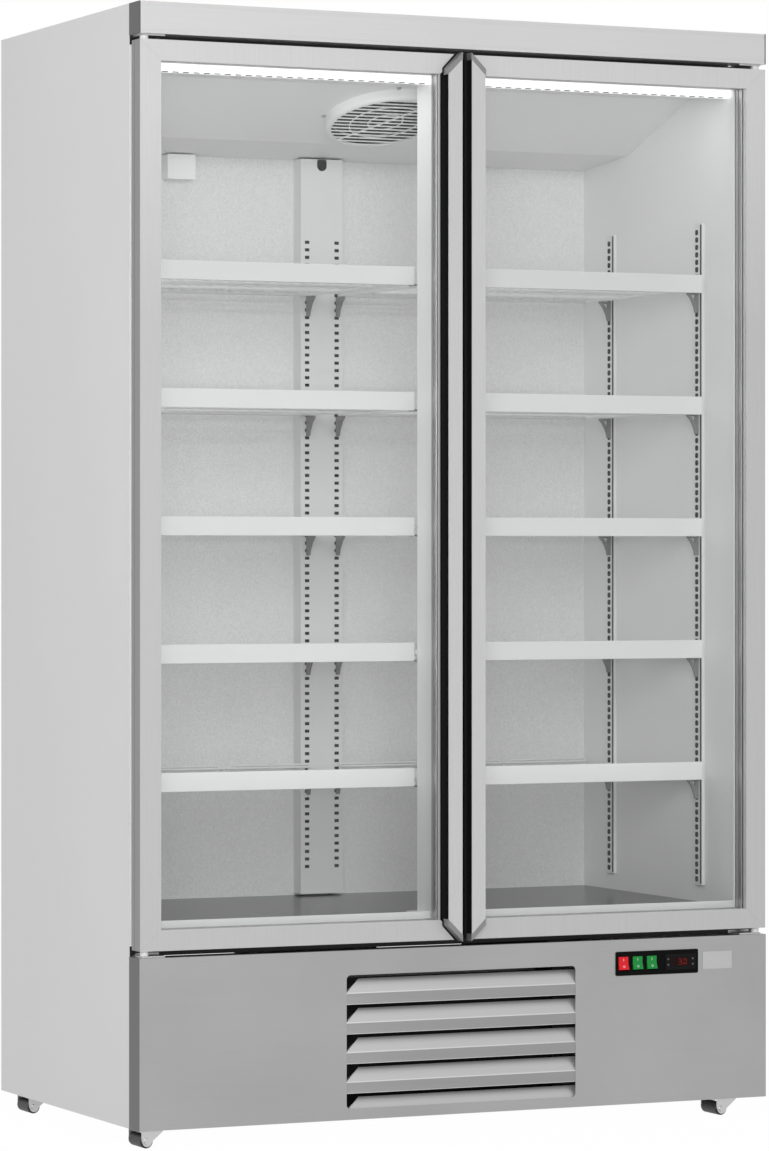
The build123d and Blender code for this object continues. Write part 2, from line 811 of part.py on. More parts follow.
def rear_rail(x0, x1, y, foot, top):
    span = [x0 + notch_from_end, x1 - notch_from_end]
    path = [(x0, y, foot), (x0, y, top)]
    for x in span:
        path += [(x - notch_half, y, top), (x, y, foot + wire_radius), (x + notch_half, y, top)]
    path += [(x1, y, top), (x1, y, foot)]
    return tube(path, wire_radius, rail_bend)


def shelf_pair(level):
    top = shelf_top(level)
    x0 = -liner_x + shelf_side_gap
    y0 = body_y + shelf_front_setback
    y1 = y0 + shelf_depth
    inner_end = -mullion_bracket_offset - bracket_thickness / 2 - shelf_side_play
    strip = block(x0, inner_end, y0, y0 + fascia_thickness, top - fascia_height, top)
    strip += block(x0, inner_end, y0, y0 + fascia_lip, top - fascia_thickness, top)
    wire_z = top - deck_drop - wire_radius
    rim_z = wire_z - wire_radius - rim_radius
    rim_top = rim_z + rim_radius
    outer = -liner_x + deck_side_gap
    inner = -deck_centre
    front_rim = y0 + fascia_thickness + rim_radius
    rear_rim = y1 - rim_radius
    front_end = -mullion_bracket_offset + bracket_thickness / 2
    pieces = [strip, rod_x(rim_radius, outer, front_end, front_rim, rim_z),
              rod_x(rim_radius, outer, inner, rear_rim, rim_z)]
    for x in (outer + rim_radius, inner - rim_radius):
        pieces.append(rod_y(rim_radius, front_rim + rim_radius, rear_rim - rim_radius, x, rim_z))
    for index in range(cross_rims):
        y = front_rim + (index + 1) * (rear_rim - front_rim) / (cross_rims + 1)
        pieces.append(rod_x(rim_radius, outer + 2 * rim_radius, inner - 2 * rim_radius, y, rim_z))
    count = int((inner - outer - 2 * wire_radius) // deck_wire_pitch)
    for index in range(count + 1):
        x = outer + wire_radius + index * (inner - outer - 2 * wire_radius) / count
        pieces.append(rod_y(wire_radius, y0 + fascia_thickness, rear_rim - wire_radius, x, wire_z))
    rail0 = outer + rail_end_inset
    rail1 = inner - rail_end_inset
    pieces.append(rear_rail(rail0, rail1, rear_rim, rim_top, top - rail_drop))
    pieces.append(rod_x(wire_radius, rail0 - wire_radius, rail1 + wire_radius,
                        rear_rim - 2 * wire_radius, top - lower_rail_drop))
    return pieces + [mirrored(piece) for piece in pieces]


# Machine base
def condenser_coil():
    z0 = caster_height + base_sheet
    z1 = z0 + condenser_height + 2 * shroud_margin - running_gap
    half = condenser_width / 2
    body = block(-half, half, condenser_y + coil_frame, shroud_y - coil_frame,
                 z0 + shroud_margin, z1 - shroud_margin)
    for side in (-half, half):
        body += block(side - coil_frame / 2, side + coil_frame / 2, condenser_y, shroud_y, z0, z1)
    for row in range(condenser_rows):
        z = z0 + shroud_margin + condenser_height * (row + 0.5) / condenser_rows
        body += rod_x(tube_radius, -half - coil_tube_end, half + coil_tube_end,
                      (condenser_y + shroud_y) / 2, z)
    return body


def condenser_shroud():
    z0 = caster_height + base_sheet
    half = condenser_width / 2 + shroud_margin
    top = z0 + condenser_height + 2 * shroud_margin
    plate = block(-half, half, shroud_y, shroud_y + shroud_thickness, z0, top)
    plate -= rod_y(cooling_fan_radius + cooling_hole_play, shroud_y - 1,
                   shroud_y + shroud_thickness + 1, 0, cooling_fan_z)
    return plate


def cooling_fan_place():
    return Plane(origin=(0, cooling_fan_y, cooling_fan_z), x_dir=(1, 0, 0), z_dir=(0, 1, 0))


def cooling_motor():
    return cooling_fan_place() * (motor() + motor_arms(cooling_fan_radius + cooling_hole_play))


def compressor():
    y = back_y - compressor_from_back
    z0 = caster_height + base_sheet + compressor_foot
    dome = rod_z(compressor_radius, z0, z0 + compressor_height, compressor_x, y)
    dome = fillet(dome.edges().filter_by(GeomType.CIRCLE), dome_fillet)
    half = compressor_radius + foot_plate_margin
    depth = compressor_radius * foot_spread + foot_plate_margin
    plate = block(compressor_x - half, compressor_x + half, y - depth, y + depth, z0, z0 + foot_plate)
    body = dome + plate
    for dx in (-compressor_radius, compressor_radius):
        for dy in (-compressor_radius * foot_spread, compressor_radius * foot_spread):
            body += rod_z(foot_radius, z0 - compressor_foot, z0, compressor_x + dx, y + dy)
    return body


def drain_pan():
    y0 = body_y + pan_setback
    z0 = caster_height + base_sheet
    outer = block(pan_x - pan_width / 2, pan_x + pan_width / 2, y0, y0 + pan_depth, z0, z0 + pan_height)
    inner = block(pan_x - pan_width / 2 + pan_wall, pan_x + pan_width / 2 - pan_wall,
                  y0 + pan_wall, y0 + pan_depth - pan_wall, z0 + pan_wall, z0 + pan_height + 1)
    return outer - inner


def electrical_box():
    y0 = body_y + control_box_setback
    x0 = control_box_x - control_box_width / 2
    outer = block(x0, x0 + control_box_width, y0, y0 + control_box_depth,
                  machine_top - control_box_height, machine_top)
    return fillet(outer.edges().filter_by(Axis.Z), control_box_corner)


def refrigerant_pipes():
    base = caster_height + base_sheet
    compressor_y = back_y - compressor_from_back
    shell_top = base + compressor_foot + compressor_height
    tube_y = (condenser_y + shroud_y) / 2
    side_x = condenser_width / 2 + coil_tube_end
    row = condenser_height / condenser_rows
    first_z = base + shroud_margin + condenser_height - row / 2
    last_z = base + shroud_margin + row / 2
    high = shell_top + discharge_rise
    x = side_x + discharge_side
    discharge = tube([(compressor_x, compressor_y, shell_top), (compressor_x, compressor_y, high),
                      (x, compressor_y - discharge_turn, high), (x, tube_y, first_z),
                      (side_x, tube_y, first_z)], pipe_radius, pipe_bend)
    x = -side_x - liquid_side
    drier_front = tube_y + drier_setback
    drier_rear = drier_front + drier_length
    liquid = tube([(-side_x, tube_y, last_z), (x, tube_y, last_z), (x, drier_front, last_z)],
                  pipe_radius, pipe_bend)
    drier = rod_y(drier_radius, drier_front, drier_rear, x, last_z)
    rise = tube([(x, drier_rear, last_z), (x, drier_rear + liquid_run, last_z),
                 (x, drier_rear + liquid_run, machine_top)], pipe_radius, pipe_bend)
    x = compressor_x + compressor_radius
    low = shell_top - suction_drop
    suction = tube([(x, compressor_y, low), (x + suction_side, compressor_y, low),
                    (x + suction_side, compressor_y, machine_top)], pipe_radius, pipe_bend)
    return discharge, liquid + drier + rise, suction


# Casters
def caster_places():
    left = -half_width + left_axle_inset
    right = half_width - right_axle_inset
    front = front_y + front_axle_setback
    rear = front_y + rear_axle_setback
    return {"front_left": (left, front), "front_right": (right, front),
            "rear_left": (left, rear), "rear_right": (right, rear)}


def caster_bracket(x, y):
    top = caster_height
    rear = y + caster_plate + roller_length + 2 * roller_play
    slope_start = top - caster_plate
    points = [(x - caster_edge, top), (x - caster_edge, roller_radius),
              (x + caster_tip, roller_radius), (x + caster_top_width - caster_edge, slope_start),
              (x + caster_top_width - caster_edge, top)]
    body = block(x - caster_edge, x + caster_top_width - caster_edge, y, rear + caster_plate,
                 top - caster_plate, top)
    for y0 in (y, rear):
        body += prism_along_y(points, y0, y0 + caster_plate)
        body += rod_y(caster_tip, y0, y0 + caster_plate, x, roller_radius)
    body -= rod_y(axle_radius, y - 1, rear + caster_plate + 1, x, roller_radius)
    return body


def caster_axle(x, y):
    rear = y + 2 * caster_plate + roller_length + 2 * roller_play
    shaft = rod_y(axle_radius, y, rear, x, roller_radius)
    head = rod_y(axle_head, y - axle_head_length, y, x, roller_radius)
    return shaft + head


def caster_roller(x, y):
    y0 = y + caster_plate + roller_play
    body = rod_y(roller_radius, y0, y0 + roller_length, x, roller_radius)
    body = fillet(body.edges().filter_by(GeomType.CIRCLE), roller_edge)
    return body - rod_y(axle_radius + bore_play, y0 - 1, y0 + roller_length + 1, x, roller_radius)


# Hinges on the cabinet
def hinge_bracket(upper):
    x = -half_width + hinge_inset
    y = front_y + hinge_setback
    if upper:
        plate_z = canopy_bottom - hinge_plate
        pin = rod_z(pin_radius, door_top - hinge_pin_reach, plate_z, x, y)
        hanger = block(x - pin_radius, x + hinge_plate_length - pin_radius, body_y - hinge_plate,
                       body_y, plate_z, canopy_bottom)
    else:
        plate_z = panel_top
        pin = rod_z(pin_radius, plate_z + hinge_plate, door_bottom + hinge_pin_reach, x, y)
        hanger = block(x - pin_radius, x + hinge_plate_length - pin_radius, body_y - hinge_plate,
                       body_y, plate_z, plate_z + 2 * hinge_plate)
    plate = block(x - bush_radius, x + hinge_plate_length - bush_radius, y - bush_radius, body_y,
                  plate_z, plate_z + hinge_plate)
    return plate + pin + hanger


# Doors, drawn as the left one
door_left = -half_width + side_inset
door_right = -door_gap / 2
groove_front = front_y + glass_setback
groove_back = groove_front + 2 * pane + air_space
glass_left = door_left + frame_width
glass_right = door_right - frame_width
glass_bottom = door_bottom + rail_height
glass_top = door_top - rail_height
handle_x1 = door_right - handle_edge
handle_x0 = handle_x1 - handle_width


def door_ring():
    ring = block(door_left, door_right, front_y, front_y + frame_depth, door_bottom, door_top)
    ring -= block(glass_left, glass_right, front_y - 1, front_y + frame_depth + 1,
                  glass_bottom, glass_top)
    bite = glass_bite + glass_play
    ring -= block(glass_left - bite, glass_right + bite, groove_front - glass_play,
                  groove_back + glass_play, glass_bottom - bite, glass_top + bite)
    t = frame_wall
    outer = block(door_left + t, door_right - t, front_y + finger_recess + t,
                  front_y + frame_depth - t, door_bottom + t, door_top - t)
    inner_x = bite + t
    outer -= block(glass_left - inner_x, glass_right + inner_x, front_y, front_y + frame_depth,
                   glass_bottom - inner_x, glass_top + inner_x)
    ring -= outer
    x = -half_width + hinge_inset
    y = front_y + hinge_setback
    for z0, z1 in ((door_bottom - 1, door_bottom + bush_depth), (door_top - bush_depth, door_top + 1)):
        ring -= rod_z(bush_barrel_radius, z0, z1, x, y)
    return ring


def door_frame():
    ring = door_ring()
    y0 = front_y - 1
    y1 = front_y + frame_depth + 1
    hinge_side = [(door_left, door_bottom), (glass_left, glass_bottom), (glass_left, glass_top),
                  (door_left, door_top)]
    free_side = [(door_right, door_bottom), (door_right, door_top), (glass_right, glass_top),
                 (glass_right, glass_bottom)]
    low_side = [(door_left, door_bottom), (door_right, door_bottom), (glass_right, glass_bottom),
                (glass_left, glass_bottom)]
    top_side = [(door_left, door_top), (glass_left, glass_top), (glass_right, glass_top),
                (door_right, door_top)]
    hinge_stile = ring & prism_along_y(hinge_side, y0, y1)
    free_stile = ring & prism_along_y(free_side, y0, y1)
    bottom_rail = ring & prism_along_y(low_side, y0, y1)
    top_rail = ring & prism_along_y(top_side, y0, y1)
    channel = block(glass_right - 1, handle_x1 - handle_web, front_y - 1, front_y + finger_recess,
                    door_bottom - 1, door_top + 1)
    free_stile -= channel
    return hinge_stile, free_stile, bottom_rail, top_rail


def door_glazing():
    x0 = glass_left - glass_bite
    x1 = glass_right + glass_bite
    z0 = glass_bottom - glass_bite
    z1 = glass_top + glass_bite
    outer = block(x0, x1, groove_front, groove_front + pane, z0, z1)
    inner = block(x0, x1, groove_back - pane, groove_back, z0, z1)
    rim = block(x0, x1, groove_front + pane, groove_back - pane, z0, z1)
    h = spacer_height
    rim -= block(x0 + h, x1 - h, groove_front, groove_back, z0 + h, z1 - h)
    return outer, inner, rim


def door_gasket():
    y0 = front_y + frame_depth
    y1 = body_y - running_gap
    x0 = door_left + gasket_edge
    x1 = door_right - gasket_edge_rail
    z0 = door_bottom + gasket_edge_rail
    z1 = door_top - gasket_edge_rail
    w = gasket_width
    seal = block(x0, x1, y0, y1, z0, z1) - block(x0 + w, x1 - w, y0 - 1, y1 + 1, z0 + w, z1 - w)
    t = gasket_skin
    groove = block(x0 + w / 3, x1 - w / 3, y0 + t, y1 - t, z0 + w / 3, z1 - w / 3)
    groove -= block(x0 + 2 * w / 3, x1 - 2 * w / 3, y0, y1, z0 + 2 * w / 3, z1 - 2 * w / 3)
    return seal - groove


# Everything between the two slanted ends of the handle, drawn in by inset
def handle_cut(inset, y0, y1):
    high = door_top + cap_rise - inset
    low = door_bottom - cap_rise + inset
    x0 = handle_x0 - 2 * cap_overhang
    x1 = handle_x1 + cap_overhang
    span = x1 - x0
    return prism_along_y([(x0, low + span), (x1, low), (x1, high), (x0, high - span)], y0, y1)


def handle_body():
    y_front = front_y - handle_proud + face_strip
    y_floor = front_y + finger_recess
    z0 = door_bottom
    z1 = door_top
    front_leg = block(handle_x0, handle_x1, y_front, y_front + handle_wall, z0, z1)
    web = block(handle_x1 - handle_web, handle_x1, y_front, front_y, z0, z1)
    step = block(handle_x1 - handle_web - handle_wall, handle_x1 - handle_web, y_front, y_floor, z0, z1)
    base_leg = block(handle_x0, handle_x1 - handle_web, y_floor - handle_wall, y_floor, z0, z1)
    profile = front_leg + web + step + base_leg
    return profile & handle_cut(cap_thickness, y_front - 1, y_floor + 1)


def handle_face():
    y0 = front_y - handle_proud
    strip = block(handle_x0, handle_x1, y0, y0 + face_strip, door_bottom, door_top)
    return strip & handle_cut(cap_thickness, y0 - 1, y0 + face_strip + 1)


def handle_caps():
    y0 = front_y - handle_proud
    y1 = front_y
    x0 = handle_x0 - cap_overhang
    x1 = handle_x1 + cap_overhang
    span = x1 - x0
    top = door_top + cap_rise
    upper = prism_along_y([(x0, top - span - cap_thickness), (x1, top - cap_thickness), (x1, top),
                           (x0, top - span)], y0, y1)
    low = door_bottom - cap_rise
    lower = prism_along_y([(x0, low + span + cap_thickness), (x0, low + span), (x1, low),
                           (x1, low + cap_thickness)], y0, y1)
    return upper, lower


def hinge_bushes():
    x = -half_width + hinge_inset
    y = front_y + hinge_setback
    upper_lip = canopy_bottom - hinge_plate - running_gap
    lower_lip = panel_top + hinge_plate + running_gap
    upper = rod_z(bush_radius, door_top, upper_lip, x, y)
    upper += rod_z(bush_barrel_radius, door_top - bush_depth, door_top, x, y)
    upper -= rod_z(pin_radius + bore_play, door_top - bush_depth + bush_floor, upper_lip + 1, x, y)
    lower = rod_z(bush_radius, lower_lip, door_bottom, x, y)
    lower += rod_z(bush_barrel_radius, door_bottom, door_bottom + bush_depth, x, y)
    lower -= rod_z(pin_radius + bore_play, lower_lip - 1, door_bottom + bush_depth - bush_floor, x, y)
    return upper, lower


# Screws that hold the fan guard
def guard_screws():
    heads = []
    reach = guard_outer_radius + washer_radius + running_gap
    for turn in (10, 100, 190, 280):
        washer = Pos(reach, 0, washer_height / 2) * Cylinder(washer_radius, washer_height)
        head = Pos(reach, 0, washer_height + screw_head_height / 2) * Cylinder(
            screw_head_radius, screw_head_height)
        heads.append(Rot(0, 0, turn) * (washer + head))
    place = Plane(origin=(0, fan_y, fan_z), x_dir=(1, 0, 0), z_dir=fan_axis)
    return [place * head for head in heads]


def build_all():
    os.makedirs("parts", exist_ok=True)
    left_side = side_panel()
    save("side_panel_left", left_side)
    save("side_panel_right", mirrored(left_side))
    save("back_panel", back_panel())
    save("top_panel", top_panel())
    save("base_tray", base_tray())
    save("rear_grille", rear_grille(), cable_gland())
    save("foam_slabs", *foam_slabs())
    save("liner_walls", *liner_walls())
    save("floor_pan", floor_pan())
    save("face_frame", face_frame())
    save("mullion", mullion())
    save("canopy", canopy())
    cap = canopy_end_cap()
    save("canopy_end_caps", cap, mirrored(cap))
    save("lower_panel", lower_panel())
    save("louvre_slats", *louvre_slats())
    save("control_bezel", control_bezel())
    save("thermostat", thermostat())
    save("rating_plate", rating_plate())
    for index, name in enumerate(("power_rocker", "fan_rocker", "light_rocker")):
        save(name, rocker(index))
    save("lamp_bars", *lamp_bars())
    save("evaporator_cover", evaporator_cover())
    save("fan_guard", fan_guard(), evaporator_motor())
    save("guard_screws", *guard_screws())
    save("evaporator_fan", evaporator_fan_place() * fan_wheel(fan_radius))
    save("evaporator_coil", evaporator_coil())
    save("sensor_box", sensor_box())
    save("shelf_uprights", back_column(), *wall_pilasters())
    save("shelf_brackets", *shelf_brackets())
    for level in range(shelf_count):
        save(f"shelf_level_{level + 1}", *shelf_pair(level))
    save("condenser_coil", condenser_coil())
    save("condenser_shroud", condenser_shroud(), cooling_motor())
    save("cooling_fan", cooling_fan_place() * fan_wheel(cooling_fan_radius))
    save("compressor", compressor())
    save("drain_pan", drain_pan())
    save("electrical_box", electrical_box())
    save("refrigerant_pipes", *refrigerant_pipes())
    places = caster_places()
    brackets = [caster_bracket(x, y) for x, y in places.values()]
    axles = [caster_axle(x, y) for x, y in places.values()]
    save("caster_brackets", *brackets, *axles)
    for name, (x, y) in places.items():
        save(f"roller_{name}", caster_roller(x, y))
    upper = hinge_bracket(True)
    lower = hinge_bracket(False)
    save("hinge_brackets", upper, lower, mirrored(upper), mirrored(lower))
    door = {"frame": door_frame(), "glazing": door_glazing(), "gasket": (door_gasket(),),
            "handle": (handle_body(),), "handle_trim": (handle_face(), *handle_caps()),
            "hinge_bushes": hinge_bushes()}
    for piece, solids in door.items():
        save(f"left_{piece}", *solids)
        save(f"right_{piece}", *[mirrored(solid) for solid in solids])


build_all()
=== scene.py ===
import math
from functools import partial

import bmesh
import bpy
from mathutils import Matrix, Vector


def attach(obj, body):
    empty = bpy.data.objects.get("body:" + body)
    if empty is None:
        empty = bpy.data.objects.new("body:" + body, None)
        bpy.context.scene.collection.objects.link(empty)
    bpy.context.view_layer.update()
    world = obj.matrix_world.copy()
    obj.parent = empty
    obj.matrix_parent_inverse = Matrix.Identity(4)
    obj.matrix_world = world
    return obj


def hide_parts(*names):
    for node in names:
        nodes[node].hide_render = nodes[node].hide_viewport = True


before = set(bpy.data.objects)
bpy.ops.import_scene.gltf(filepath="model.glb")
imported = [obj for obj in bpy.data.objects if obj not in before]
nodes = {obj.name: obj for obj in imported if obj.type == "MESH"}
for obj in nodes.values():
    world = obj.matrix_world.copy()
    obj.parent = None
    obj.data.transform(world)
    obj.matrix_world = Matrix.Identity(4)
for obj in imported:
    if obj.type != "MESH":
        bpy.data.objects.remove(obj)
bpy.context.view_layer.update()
scene = bpy.context.scene
print("frame loaded:", len(nodes), "nodes")

# Places that several pieces share, in metres, as the model has them
cabinet = {
    "frontY": -0.3365,
    "backY": 0.3565,
    "halfWidth": 0.625,
    "linerBackY": 0.3155,
    "doorMiddleZ": 1.139,
}

camera = {
    "place": (-3.6379, -7.8273, 1.0388),
    "turn": 24.94,          # degrees to the right of straight ahead
    "lens": 144.93,
    "sensor": 36,
    "shiftY": -0.0198,
    "reach": 60,
}


def placeCamera():
    data = bpy.data.cameras.new("camera")
    data.lens = camera["lens"]
    data.sensor_width = camera["sensor"]
    data.shift_y = camera["shiftY"]
    data.clip_end = camera["reach"]
    eye = bpy.data.objects.new("camera", data)
    eye.location = camera["place"]
    eye.rotation_euler = (math.radians(90), 0, -math.radians(camera["turn"]))
    scene.collection.objects.link(eye)
    scene.camera = eye


placeCamera()
print("camera placed")


# Helpers for materials. A tone is a grey value of 0 to 255, as it looks in plain light.
def linear(value):
    # the sRGB curve
    value = value / 255
    return value / 12.92 if value <= 0.04045 else ((value + 0.055) / 1.055) ** 2.4


def grey(value):
    return (linear(value),) * 3


def newMaterial(name, color, roughness, metallic=0.0):
    material = bpy.data.materials.new(name)
    material.use_nodes = True
    material.diffuse_color = (*color, 1)
    shader = shaderOf(material)
    shader.inputs["Base Color"].default_value = (*color, 1)
    shader.inputs["Roughness"].default_value = roughness
    shader.inputs["Metallic"].default_value = metallic
    return material


def emptied(owner):
    owner.use_nodes = True
    owner.node_tree.nodes.clear()
    return owner


def add(owner, kind, **values):
    node = owner.node_tree.nodes.new("ShaderNode" + kind)
    for name, value in values.items():
        if hasattr(node, name):
            setattr(node, name, value)
        else:
            node.inputs[name.replace("_", " ")].default_value = value
    return node


def join(owner, start, end):
    owner.node_tree.links.new(start, end)


def objectPoint(material, scale=(1, 1, 1)):
    source = add(material, "TexCoord")
    mapping = add(material, "Mapping", Scale=scale)
    join(material, source.outputs["Object"], mapping.inputs["Vector"])
    return mapping.outputs["Vector"]


def parts(material):
    node = add(material, "SeparateXYZ")
    join(material, objectPoint(material), node.inputs["Vector"])
    return node.outputs["X"], node.outputs["Y"], node.outputs["Z"]


def noiseOn(material, point, size, detail=3.0, rough=0.5):
    noise = add(material, "TexNoise", Scale=size, Detail=detail, Roughness=rough)
    join(material, point, noise.inputs["Vector"])
    return noise.outputs["Fac"]


def spread(material, source, low, high, fromLow=0.25, fromHigh=0.75):
    node = add(material, "MapRange", From_Min=fromLow, From_Max=fromHigh, To_Min=low, To_Max=high)
    join(material, source, node.inputs["Value"])
    return node.outputs["Result"]


def maths(owner, operation, first, second=None):
    node = add(owner, "Math", operation=operation)
    for index, value in enumerate((first, second)):
        if value is None:
            continue
        if isinstance(value, (int, float)):
            node.inputs[index].default_value = value
        else:
            join(owner, value, node.inputs[index])
    return node.outputs[0]


def fromDoorMiddle(material, z):
    return maths(material, "ABSOLUTE", maths(material, "SUBTRACT", z, cabinet["doorMiddleZ"]))


def blendColor(material, factor, first, second, kind="MIX"):
    node = add(material, "Mix", data_type="RGBA", blend_type=kind)
    if isinstance(factor, (int, float)):
        node.inputs["Factor"].default_value = factor
    else:
        join(material, factor, node.inputs["Factor"])
    for index, value in ((6, first), (7, second)):
        if isinstance(value, tuple):
            node.inputs[index].default_value = (*value[:3], 1)
        else:
            join(material, value, node.inputs[index])
    return node.outputs[2]


def shaded(material, color, factor):
    return blendColor(material, 1.0, color, factor, "MULTIPLY")


def shaderOf(material):
    return material.node_tree.nodes["Principled BSDF"]


def feed(material, name, source):
    join(material, source, shaderOf(material).inputs[name])


def paintOf(material):
    return shaderOf(material).inputs["Base Color"].links[0].from_socket


def setRoughness(material, source, low, high, *limits):
    feed(material, "Roughness", spread(material, source, low, high, *limits))


def setBump(material, height, strength, distance=0.0002):
    bump = add(material, "Bump", Strength=strength, Distance=distance)
    join(material, height, bump.inputs["Height"])
    feed(material, "Normal", bump.outputs["Normal"])


def showMixed(owner, kind, factor, first, second):
    # the surface shows the first shader where the factor is 0, and the second where it is 1
    both = add(owner, "MixShader")
    for index, source in enumerate((factor, first.outputs[0], second.outputs[0])):
        join(owner, source, both.inputs[index])
    join(owner, both.outputs[0], add(owner, "Output" + kind).inputs["Surface"])


def powderCoat(name, tone, roughness=0.5):
    uneven = 0.06
    material = newMaterial(name, grey(tone), roughness)
    point = objectPoint(material)
    peel = noiseOn(material, point, size=420, detail=2)
    cloud = noiseOn(material, point, size=2.2, detail=2)
    feed(material, "Base Color", shaded(material, grey(tone), spread(material, cloud, low=0.97, high=1.0)))
    setRoughness(material, peel, roughness - uneven, roughness + uneven)
    setBump(material, peel, strength=0.12)
    return material


def brushedSteel(name, tone, roughness, along=(5, 900, 900), cloudy=0.05, metal=1.0, sideTone=None):
    steel = {"lift": 0.3, "smoother": 0.05, "rougher": 0.08, "sideDepth": 0.0004}
    material = newMaterial(name, grey(tone), roughness, metal)
    grain = noiseOn(material, objectPoint(material, along), size=1.0, detail=4, rough=0.6)
    cloud = noiseOn(material, objectPoint(material), size=3.5, detail=3)
    fine = spread(material, grain, low=0.965, high=1.02, fromLow=0.3, fromHigh=0.7)
    wide = spread(material, cloud, 1 - cloudy, 1 + cloudy * steel["lift"])
    color = shaded(material, grey(tone), maths(material, "MULTIPLY", fine, wide))
    if sideTone:
        # the folded sides, which turn away from the light
        x, _, _ = parts(material)
        edge = cabinet["halfWidth"] - steel["sideDepth"]
        side = maths(material, "GREATER_THAN", maths(material, "ABSOLUTE", x), edge)
        color = blendColor(material, side, color, grey(sideTone))
    feed(material, "Base Color", color)
    setRoughness(material, grain, roughness - steel["smoother"], roughness + steel["rougher"])
    setBump(material, grain, strength=0.08)
    return material


def plainPlastic(name, color, roughness, grainSize=900, mirror=0.5):
    uneven, smoothest = 0.06, 0.02
    material = newMaterial(name, color, roughness)
    shaderOf(material).inputs["Specular IOR Level"].default_value = mirror
    grain = noiseOn(material, objectPoint(material), grainSize, detail=2)
    setRoughness(material, grain, max(roughness - uneven, smoothest), roughness + uneven)
    setBump(material, grain, strength=0.06)
    return material


def galvanised(name, tone):
    material = newMaterial(name, grey(tone), roughness=0.42, metallic=0.85)
    cells = add(material, "TexVoronoi", Scale=70)
    join(material, objectPoint(material), cells.inputs["Vector"])
    crystal = cells.outputs["Color"]
    shade = spread(material, crystal, low=0.86, high=1.05, fromLow=0.0, fromHigh=1.0)
    feed(material, "Base Color", shaded(material, grey(tone), shade))
    setRoughness(material, crystal, 0.34, 0.5, 0.0, 1.0)
    return material


def linerSheet():
    # the back wall is embossed, the side walls and ceiling are smooth
    liner = {"tone": 238, "skin": 0.0008, "emboss": 0.0008}
    material = newMaterial("linerSheet", grey(liner["tone"]), roughness=0.45)
    _, y, _ = parts(material)
    back = maths(material, "GREATER_THAN", y, cabinet["linerBackY"] - liner["skin"])
    point = objectPoint(material)
    stucco = noiseOn(material, point, size=430, detail=3, rough=0.7)
    smooth = noiseOn(material, point, size=9, detail=2)
    # painted light and shade: on the back wall the colour turns lighter and darker with the embossing, as
    # light falls on its relief
    shade = spread(material, stucco, low=0.86, high=1.04, fromLow=0.38, fromHigh=0.62)
    mixed = add(material, "MapRange", To_Min=1.0)
    join(material, back, mixed.inputs["Value"])
    join(material, shade, mixed.inputs["To Max"])
    calm = spread(material, smooth, low=0.985, high=1.0)
    factor = maths(material, "MULTIPLY", mixed.outputs[0], calm)
    feed(material, "Base Color", shaded(material, grey(liner["tone"]), factor))
    setBump(material, maths(material, "MULTIPLY", stucco, back), 0.4, liner["emboss"])
    return material


def floorSteel(tone):
    material = newMaterial("floorSteel", grey(tone), roughness=0.2, metallic=1.0)
    point = objectPoint(material)
    setRoughness(material, noiseOn(material, point, size=260, detail=3), 0.16, 0.28)
    cloud = noiseOn(material, point, size=4, detail=2)
    feed(material, "Base Color", shaded(material, grey(tone), spread(material, cloud, low=0.93, high=1.03)))
    return material


def shelfWhite():
    # the rear wires stand out, and the coat is toned down near the lamps so that all levels look alike
    coat = {"tone": 248, "wireTone": 226, "rearY": 0.2615}
    material = powderCoat("shelfWhite", coat["tone"], roughness=0.35)
    _, y, z = parts(material)
    rear = maths(material, "GREATER_THAN", y, coat["rearY"])
    plain = blendColor(material, rear, paintOf(material), grey(coat["wireTone"]))
    even = spread(material, z, low=1.0, high=0.96, fromLow=0.7, fromHigh=1.5)
    feed(material, "Base Color", shaded(material, plain, even))
    return material


def louvreSteel():
    # each slat's slope looks up to the light, its face doesn't, and its folds catch a thin light line
    slat = {"low": 0.0245, "pitch": 0.0527, "face": 0.0204, "line": 0.0009, "foot": 0.0011,
            "slopeTone": 187, "faceTone": 149, "highlightTone": 226, "highlightShare": 0.6,
            "startY": -0.3353, "depth": 0.014, "recessShadeShare": 0.72}
    material = brushedSteel("louvreSteel", slat["slopeTone"], roughness=0.38, cloudy=0.03, metal=0.6)
    calc = partial(maths, material)
    shade = paintOf(material)
    _, y, z = parts(material)
    within = calc("MODULO", calc("SUBTRACT", z, slat["low"]), slat["pitch"])
    onFace = calc("LESS_THAN", within, slat["face"])
    faceShare = (linear(slat["faceTone"]) / linear(slat["slopeTone"]),) * 3
    # painted shade: the slope grows darker towards its rear edge, deep in the louvre
    recessShade = spread(material, y, 1.0, slat["recessShadeShare"],
                  slat["startY"] + slat["depth"] / 2, slat["startY"] + slat["depth"])
    shade = blendColor(material, onFace, shaded(material, shade, recessShade), shaded(material, shade, faceShare))
    # painted highlights: thin light lines along each fold and at each slat's foot
    fold = calc("LESS_THAN", calc("ABSOLUTE", calc("SUBTRACT", within, slat["face"])), slat["line"])
    foot = calc("LESS_THAN", within, slat["foot"])
    marks = calc("MULTIPLY", calc("MAXIMUM", fold, foot), slat["highlightShare"])
    feed(material, "Base Color", blendColor(material, marks, shade, grey(slat["highlightTone"])))
    return material


def shadeBeyond(material, reach, tone):
    # painted shade: the ends of the face frame, which lie in the gaps above and below the doors, are painted
    # near black
    _, _, z = parts(material)
    beyond = maths(material, "GREATER_THAN", fromDoorMiddle(material, z), reach)
    feed(material, "Base Color", blendColor(material, beyond, paintOf(material), grey(tone)))
    return material


